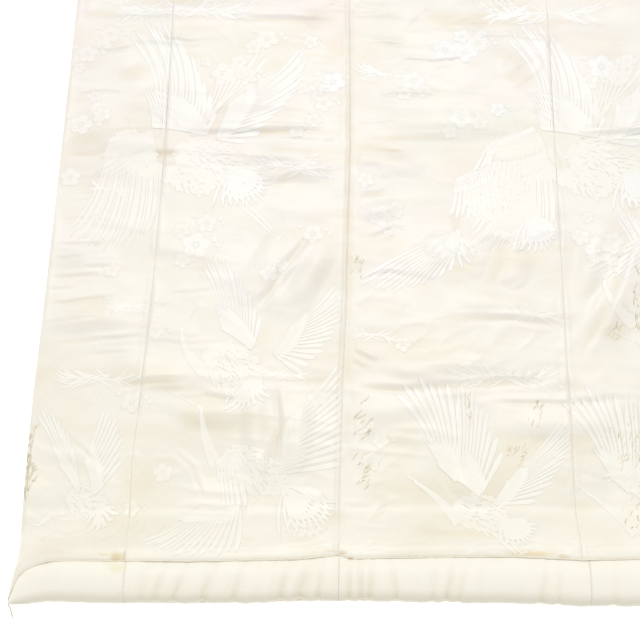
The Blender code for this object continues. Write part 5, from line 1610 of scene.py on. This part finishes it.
plums = {  # plum blossoms: x, h and radius in millimetres, brightness
    "leftFront": (
        (-722, 776, 17, 0.5), (-700, 792, 14, 0.45), (-690, 812, 17, 0.45), (-733, 750, 10, 0.42),
        (-506, 742, 21, 0.55), (-484, 763, 14, 0.55), (-470, 738, 17, 0.42), (-535, 764, 10, 0.5),
        (-441, 806, 18, 0.5), (-462, 790, 14, 0.45), (-336, 728, 19, 0.86), (-360, 716, 14, 0.6),
        (-350, 690, 15, 0.42), (-705, 700, 13, 0.45), (-722, 650, 18, 0.36), (-690, 668, 14, 0.36),
        (-534, 450, 22, 0.62), (-556, 474, 14, 0.45), (-520, 486, 16, 0.4), (-552, 426, 13, 0.5),
        (-390, 640, 12, 0.4), (-365, 660, 14, 0.42), (-425, 405, 14, 0.6), (-405, 420, 10, 0.6),
        (-372, 800, 13, 0.45), (-655, 410, 13, 0.34), (-362, 470, 16, 0.36), (-730, 560, 16, 0.32),
        (-610, 210, 16, 0.36), (-560, 110, 14, 0.34), (-585, 315, 14, 0.36), (-350, 220, 15, 0.4),
        (-600, 60, 12, 0.34),
    ),
    "back": (
        (-162, 784, 20, 0.9), (-132, 782, 20, 0.92), (-110, 798, 17, 0.6), (-136, 810, 13, 0.8),
        (-104, 816, 8, 0.8), (-212, 730, 18, 0.66), (-196, 712, 13, 0.46), (-226, 708, 13, 0.42),
        (-140, 664, 19, 0.66), (-112, 656, 14, 0.52), (-84, 680, 13, 0.74), (-158, 640, 12, 0.5),
        (-264, 500, 18, 0.58), (-240, 512, 14, 0.5), (-250, 480, 12, 0.42), (-285, 560, 14, 0.42),
        (78, 756, 22, 0.78), (104, 738, 16, 0.62), (58, 730, 15, 0.6), (120, 768, 13, 0.66),
        (54, 446, 22, 0.58), (78, 462, 15, 0.48), (30, 468, 14, 0.46), (76, 424, 13, 0.46), (42, 500, 10, 0.44),
        (-284, 180, 14, 0.38), (-262, 160, 12, 0.36), (-276, 130, 15, 0.36), (-230, 300, 12, 0.36),
        (200, 500, 20, 0.6), (226, 486, 15, 0.5), (190, 470, 13, 0.5), (250, 220, 18, 0.5), (272, 240, 14, 0.5),
        (-180, 960, 20, 0.7), (-150, 945, 16, 0.6), (180, 940, 20, 0.7), (210, 955, 15, 0.6),
        (-60, 1420, 20, 0.7), (-85, 1400, 15, 0.6), (120, 1600, 20, 0.7), (145, 1620, 15, 0.6),
        (-250, 1380, 18, 0.6), (270, 1150, 18, 0.6), (-30, 1640, 18, 0.6),
    ),
    "rightFront": (
        (350, 780, 20, 0.7), (378, 764, 16, 0.6), (660, 700, 20, 0.7), (690, 684, 15, 0.6), (540, 450, 20, 0.6),
        (515, 434, 15, 0.5), (700, 340, 18, 0.6), (400, 120, 18, 0.5), (426, 134, 14, 0.5), (560, 160, 18, 0.5),
        (700, 560, 16, 0.5), (345, 640, 16, 0.5),
    ),
    "leftSleeve": (
        (-600, 1560, 20, 0.7), (-572, 1546, 15, 0.6), (-380, 1600, 18, 0.6), (-400, 1320, 20, 0.7),
        (-640, 1080, 18, 0.6), (-380, 980, 18, 0.6),
    ),
    "rightSleeve": (
        (620, 1600, 20, 0.7), (592, 1616, 15, 0.6), (380, 1640, 18, 0.6), (400, 1060, 20, 0.7),
        (640, 1160, 18, 0.6), (420, 1440, 18, 0.6),
    ),
}
buds = ((1.25, 0.45), (1.55, 0.05), (-1.2, 0.75))
for patch, placed in plums.items():
    for k, (x, h, radius, tone) in enumerate(placed):
        patterns[patch] += blossom(x, h, radius, turn=0.3 + 0.7 * k, tone=min(1.15 * tone, 1.0),
                                    buds=buds if k % 2 == 0 else ())

for box, count, lean in (((-751, -742, 60, 170), 44, 1.45), ((-748, -736, 85, 120), 14, 1.1)):
    patterns["leftFront"] += floats(box, count, lean, seed=3, long=14)
patterns["leftFront"] += floats((-302, -292, 395, 420), 8, 1.5, seed=5, long=10)
for box, count, lean in (((98, 135, 300, 420), 70, 1.45), ((60, 75, 310, 330), 10, 1.0),
                         ((-306, -290, 400, 430), 12, 1.3), ((-300, -280, 90, 220), 34, 0.8),
                         ((-145, -138, 190, 225), 8, 1.5), ((-60, -40, 180, 215), 10, 1.2),
                         ((-90, -65, 115, 150), 14, 0.9), ((60, 90, 40, 200), 40, 1.1)):
    patterns["back"] += floats(box, count, lean, seed=9, long=13)
print("figures drawn:", sum(len(b["tris"]) for p in patterns.values() for b in p), "triangles")


# Height of a panel's face at points: position among the rows and columns, then the mean of four grid points.
def faceHeight(panel, half, h):
    hem = hemHeight(half)
    level = np.where(h < hemZone, (h - hem) * hemZone / (hemZone - hem), h)
    inner, outer = panel["inner"](level), panel["outer"](level)
    r = np.interp(level, panel["rows"], np.arange(len(panel["rows"])))
    c = np.interp((half - inner) / (outer - inner), panel["columns"], np.arange(len(panel["columns"])))
    r0, c0 = (np.clip(np.floor(v).astype(int), 0, n - 2) for v, n in zip((r, c), panel["z"].shape))
    fr, fc, z = r - r0, c - c0, panel["z"]
    return ((z[r0, c0] * (1 - fc) + z[r0, c0 + 1] * fc) * (1 - fr)
            + (z[r0 + 1, c0] * (1 - fc) + z[r0 + 1, c0 + 1] * fc) * fr)


# Cuts triangles where d changes sign and keeps the part where d is positive. A new point on a crossed edge is
# first + (second - first) * d1 / (d1 - d2), for all its values at once.
def cutWhere(values, tris, slots, d):
    inside = d > 0
    number = inside[tris].sum(axis=1)
    kept, keptSlots, extra, total = [tris[number == 3]], [slots[number == 3]], [values], len(values)
    for wanted in (1, 2):
        chosen = tris[number == wanted]
        lone = np.argmax(inside[chosen] == (wanted == 1), axis=1)
        a, b, c = np.take_along_axis(chosen, (lone[:, None] + np.arange(3)) % 3, axis=1).T
        ab = values[a] + (values[b] - values[a]) * (d[a] / (d[a] - d[b]))[:, None]
        ac = values[a] + (values[c] - values[a]) * (d[a] / (d[a] - d[c]))[:, None]
        atAb, atAc = total + np.arange(len(a)), total + len(a) + np.arange(len(a))
        total += 2 * len(a)
        extra += [ab, ac]
        made = [(a, atAb, atAc)] if wanted == 1 else [(b, c, atAc), (b, atAc, atAb)]
        kept += [np.stack(t, -1) for t in made]
        keptSlots += [slots[number == wanted]] * len(made)
    return np.concatenate(extra), np.concatenate(kept), np.concatenate(keptSlots)


def layFigures(panel, batches, top):
    values, tris, slots, total = [], [], [], 0
    for batch in batches:
        values.append(np.column_stack([batch["flat"], batch["lift"], batch["uv"], batch["tone"]]))
        tris.append(batch["tris"] + total)
        slots.append(batch["slot"])
        total += len(batch["flat"])
    values, tris, slots = np.concatenate(values), np.concatenate(tris), np.concatenate(slots)
    side = panel["side"]

    def levelOf(v):
        hem = hemHeight(v[:, 0])
        return np.where(v[:, 1] < hemZone, (v[:, 1] - hem) * hemZone / (hemZone - hem), v[:, 1])

    clear = figure["seamClear"]
    tests = (lambda v: side * v[:, 0] - panel["inner"](levelOf(v)) - clear,
             lambda v: panel["outer"](levelOf(v)) - clear - side * v[:, 0],
             lambda v: levelOf(v) - figure["hemClear"] - panel.get("low", 0.0),
             lambda v: top - v[:, 1])
    for test in tests:
        values, tris, slots = cutWhere(values, tris, slots, test(values))
    used, flat = np.unique(tris, return_inverse=True)
    values, tris = values[used], flat.reshape(-1, 3)
    x, h = values[:, 0], values[:, 1]
    z = faceHeight(panel, side * x, h) + figure["lift"] + values[:, 2]
    word = panel["name"].split("_")
    title = "figures" + word[0].capitalize() + word[1].capitalize()
    laid = gridMesh(title, np.stack([x, h + hemY, z], -1), tris, [figureSilk, glintThread], uv=values[:, 3:5],
                    tone=values[:, 5])
    laid.data.polygons.foreach_set("material_index", slots)
    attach(laid, "root")
    print(title, len(tris), "triangles")
    return laid


for patch, names in (("leftFront", ("front_left", "overlap_left")), ("back", ("back_left", "back_right")),
                     ("rightFront", ("front_right", "overlap_right")), ("leftSleeve", ("sleeve_left",)),
                     ("rightSleeve", ("sleeve_right",))):
    for name in names:
        top = {"fro": 0.93, "ove": 0.93, "bac": 1.59, "sle": 1.866}[name[:3]]
        layFigures(panels[name], patterns[patch], top)


# camera, light and floor

camera = {"lens": 64.69, "place": (-0.306, -0.227 + hemY, 1.549), "turn": (20.0, 1.19, 1.1)}
lens = bpy.data.cameras.new("camera")
lens.lens = camera["lens"]
lens.sensor_width = 36.0
eye = bpy.data.objects.new("camera", lens)
eye.location = camera["place"]
eye.rotation_euler = [math.radians(a) for a in camera["turn"]]
bpy.context.scene.collection.objects.link(eye)
bpy.context.scene.camera = eye


def softLight(name, at, aim, size, power, colour):
    light = bpy.data.lights.new(name, "AREA")
    light.shape = "RECTANGLE"
    light.size, light.size_y = size
    light.energy = power
    light.color = colour
    lamp = bpy.data.objects.new(name, light)
    lamp.location = at
    lamp.rotation_euler = (Vector(aim) - Vector(at)).to_track_quat("-Z", "Y").to_euler()
    bpy.context.scene.collection.objects.link(lamp)
    return lamp


softLight("stripBox", (0.06, 0.75, 2.1), (0.08, -0.45, 0.0), (2.4, 1.1), 6.1, (1.0, 0.99, 0.97))

sun = bpy.data.lights.new("keyLight", "SUN")
sun.energy = 0.9
sun.angle = math.radians(12.0)
sun.color = (1.0, 0.99, 0.97)
key = bpy.data.objects.new("keyLight", sun)
key.rotation_euler = (math.radians(-27.0), math.radians(-1.5), 0.0)
bpy.context.scene.collection.objects.link(key)

world = bpy.data.worlds.new("studio")
world.use_nodes = True
fill(world.node_tree, world.node_tree.nodes["Background"],
     {"Color": (1.0, 1.0, 1.0, 1.0), "Strength": 0.752})
bpy.context.scene.world = world
bpy.context.scene.view_settings.view_transform = "Standard"

floorMaterial, floorTree, floorShader = nodesOf("paleFloor")
fill(floorTree, floorShader, {"Base Color": (0.93, 0.93, 0.93, 1.0), "Roughness": 0.9,
                              "Emission Color": (1.0, 1.0, 1.0, 1.0), "Emission Strength": 0.5})
floorMesh = bpy.data.meshes.new("floor")
floorMesh.from_pydata([(x, y, -0.0006) for x, y in ((-6, -6), (6, -6), (6, 6), (-6, 6))], [], [(0, 1, 2, 3)])
floorMesh.materials.append(floorMaterial)
floor = bpy.data.objects.new("floor", floorMesh)
bpy.context.scene.collection.objects.link(floor)
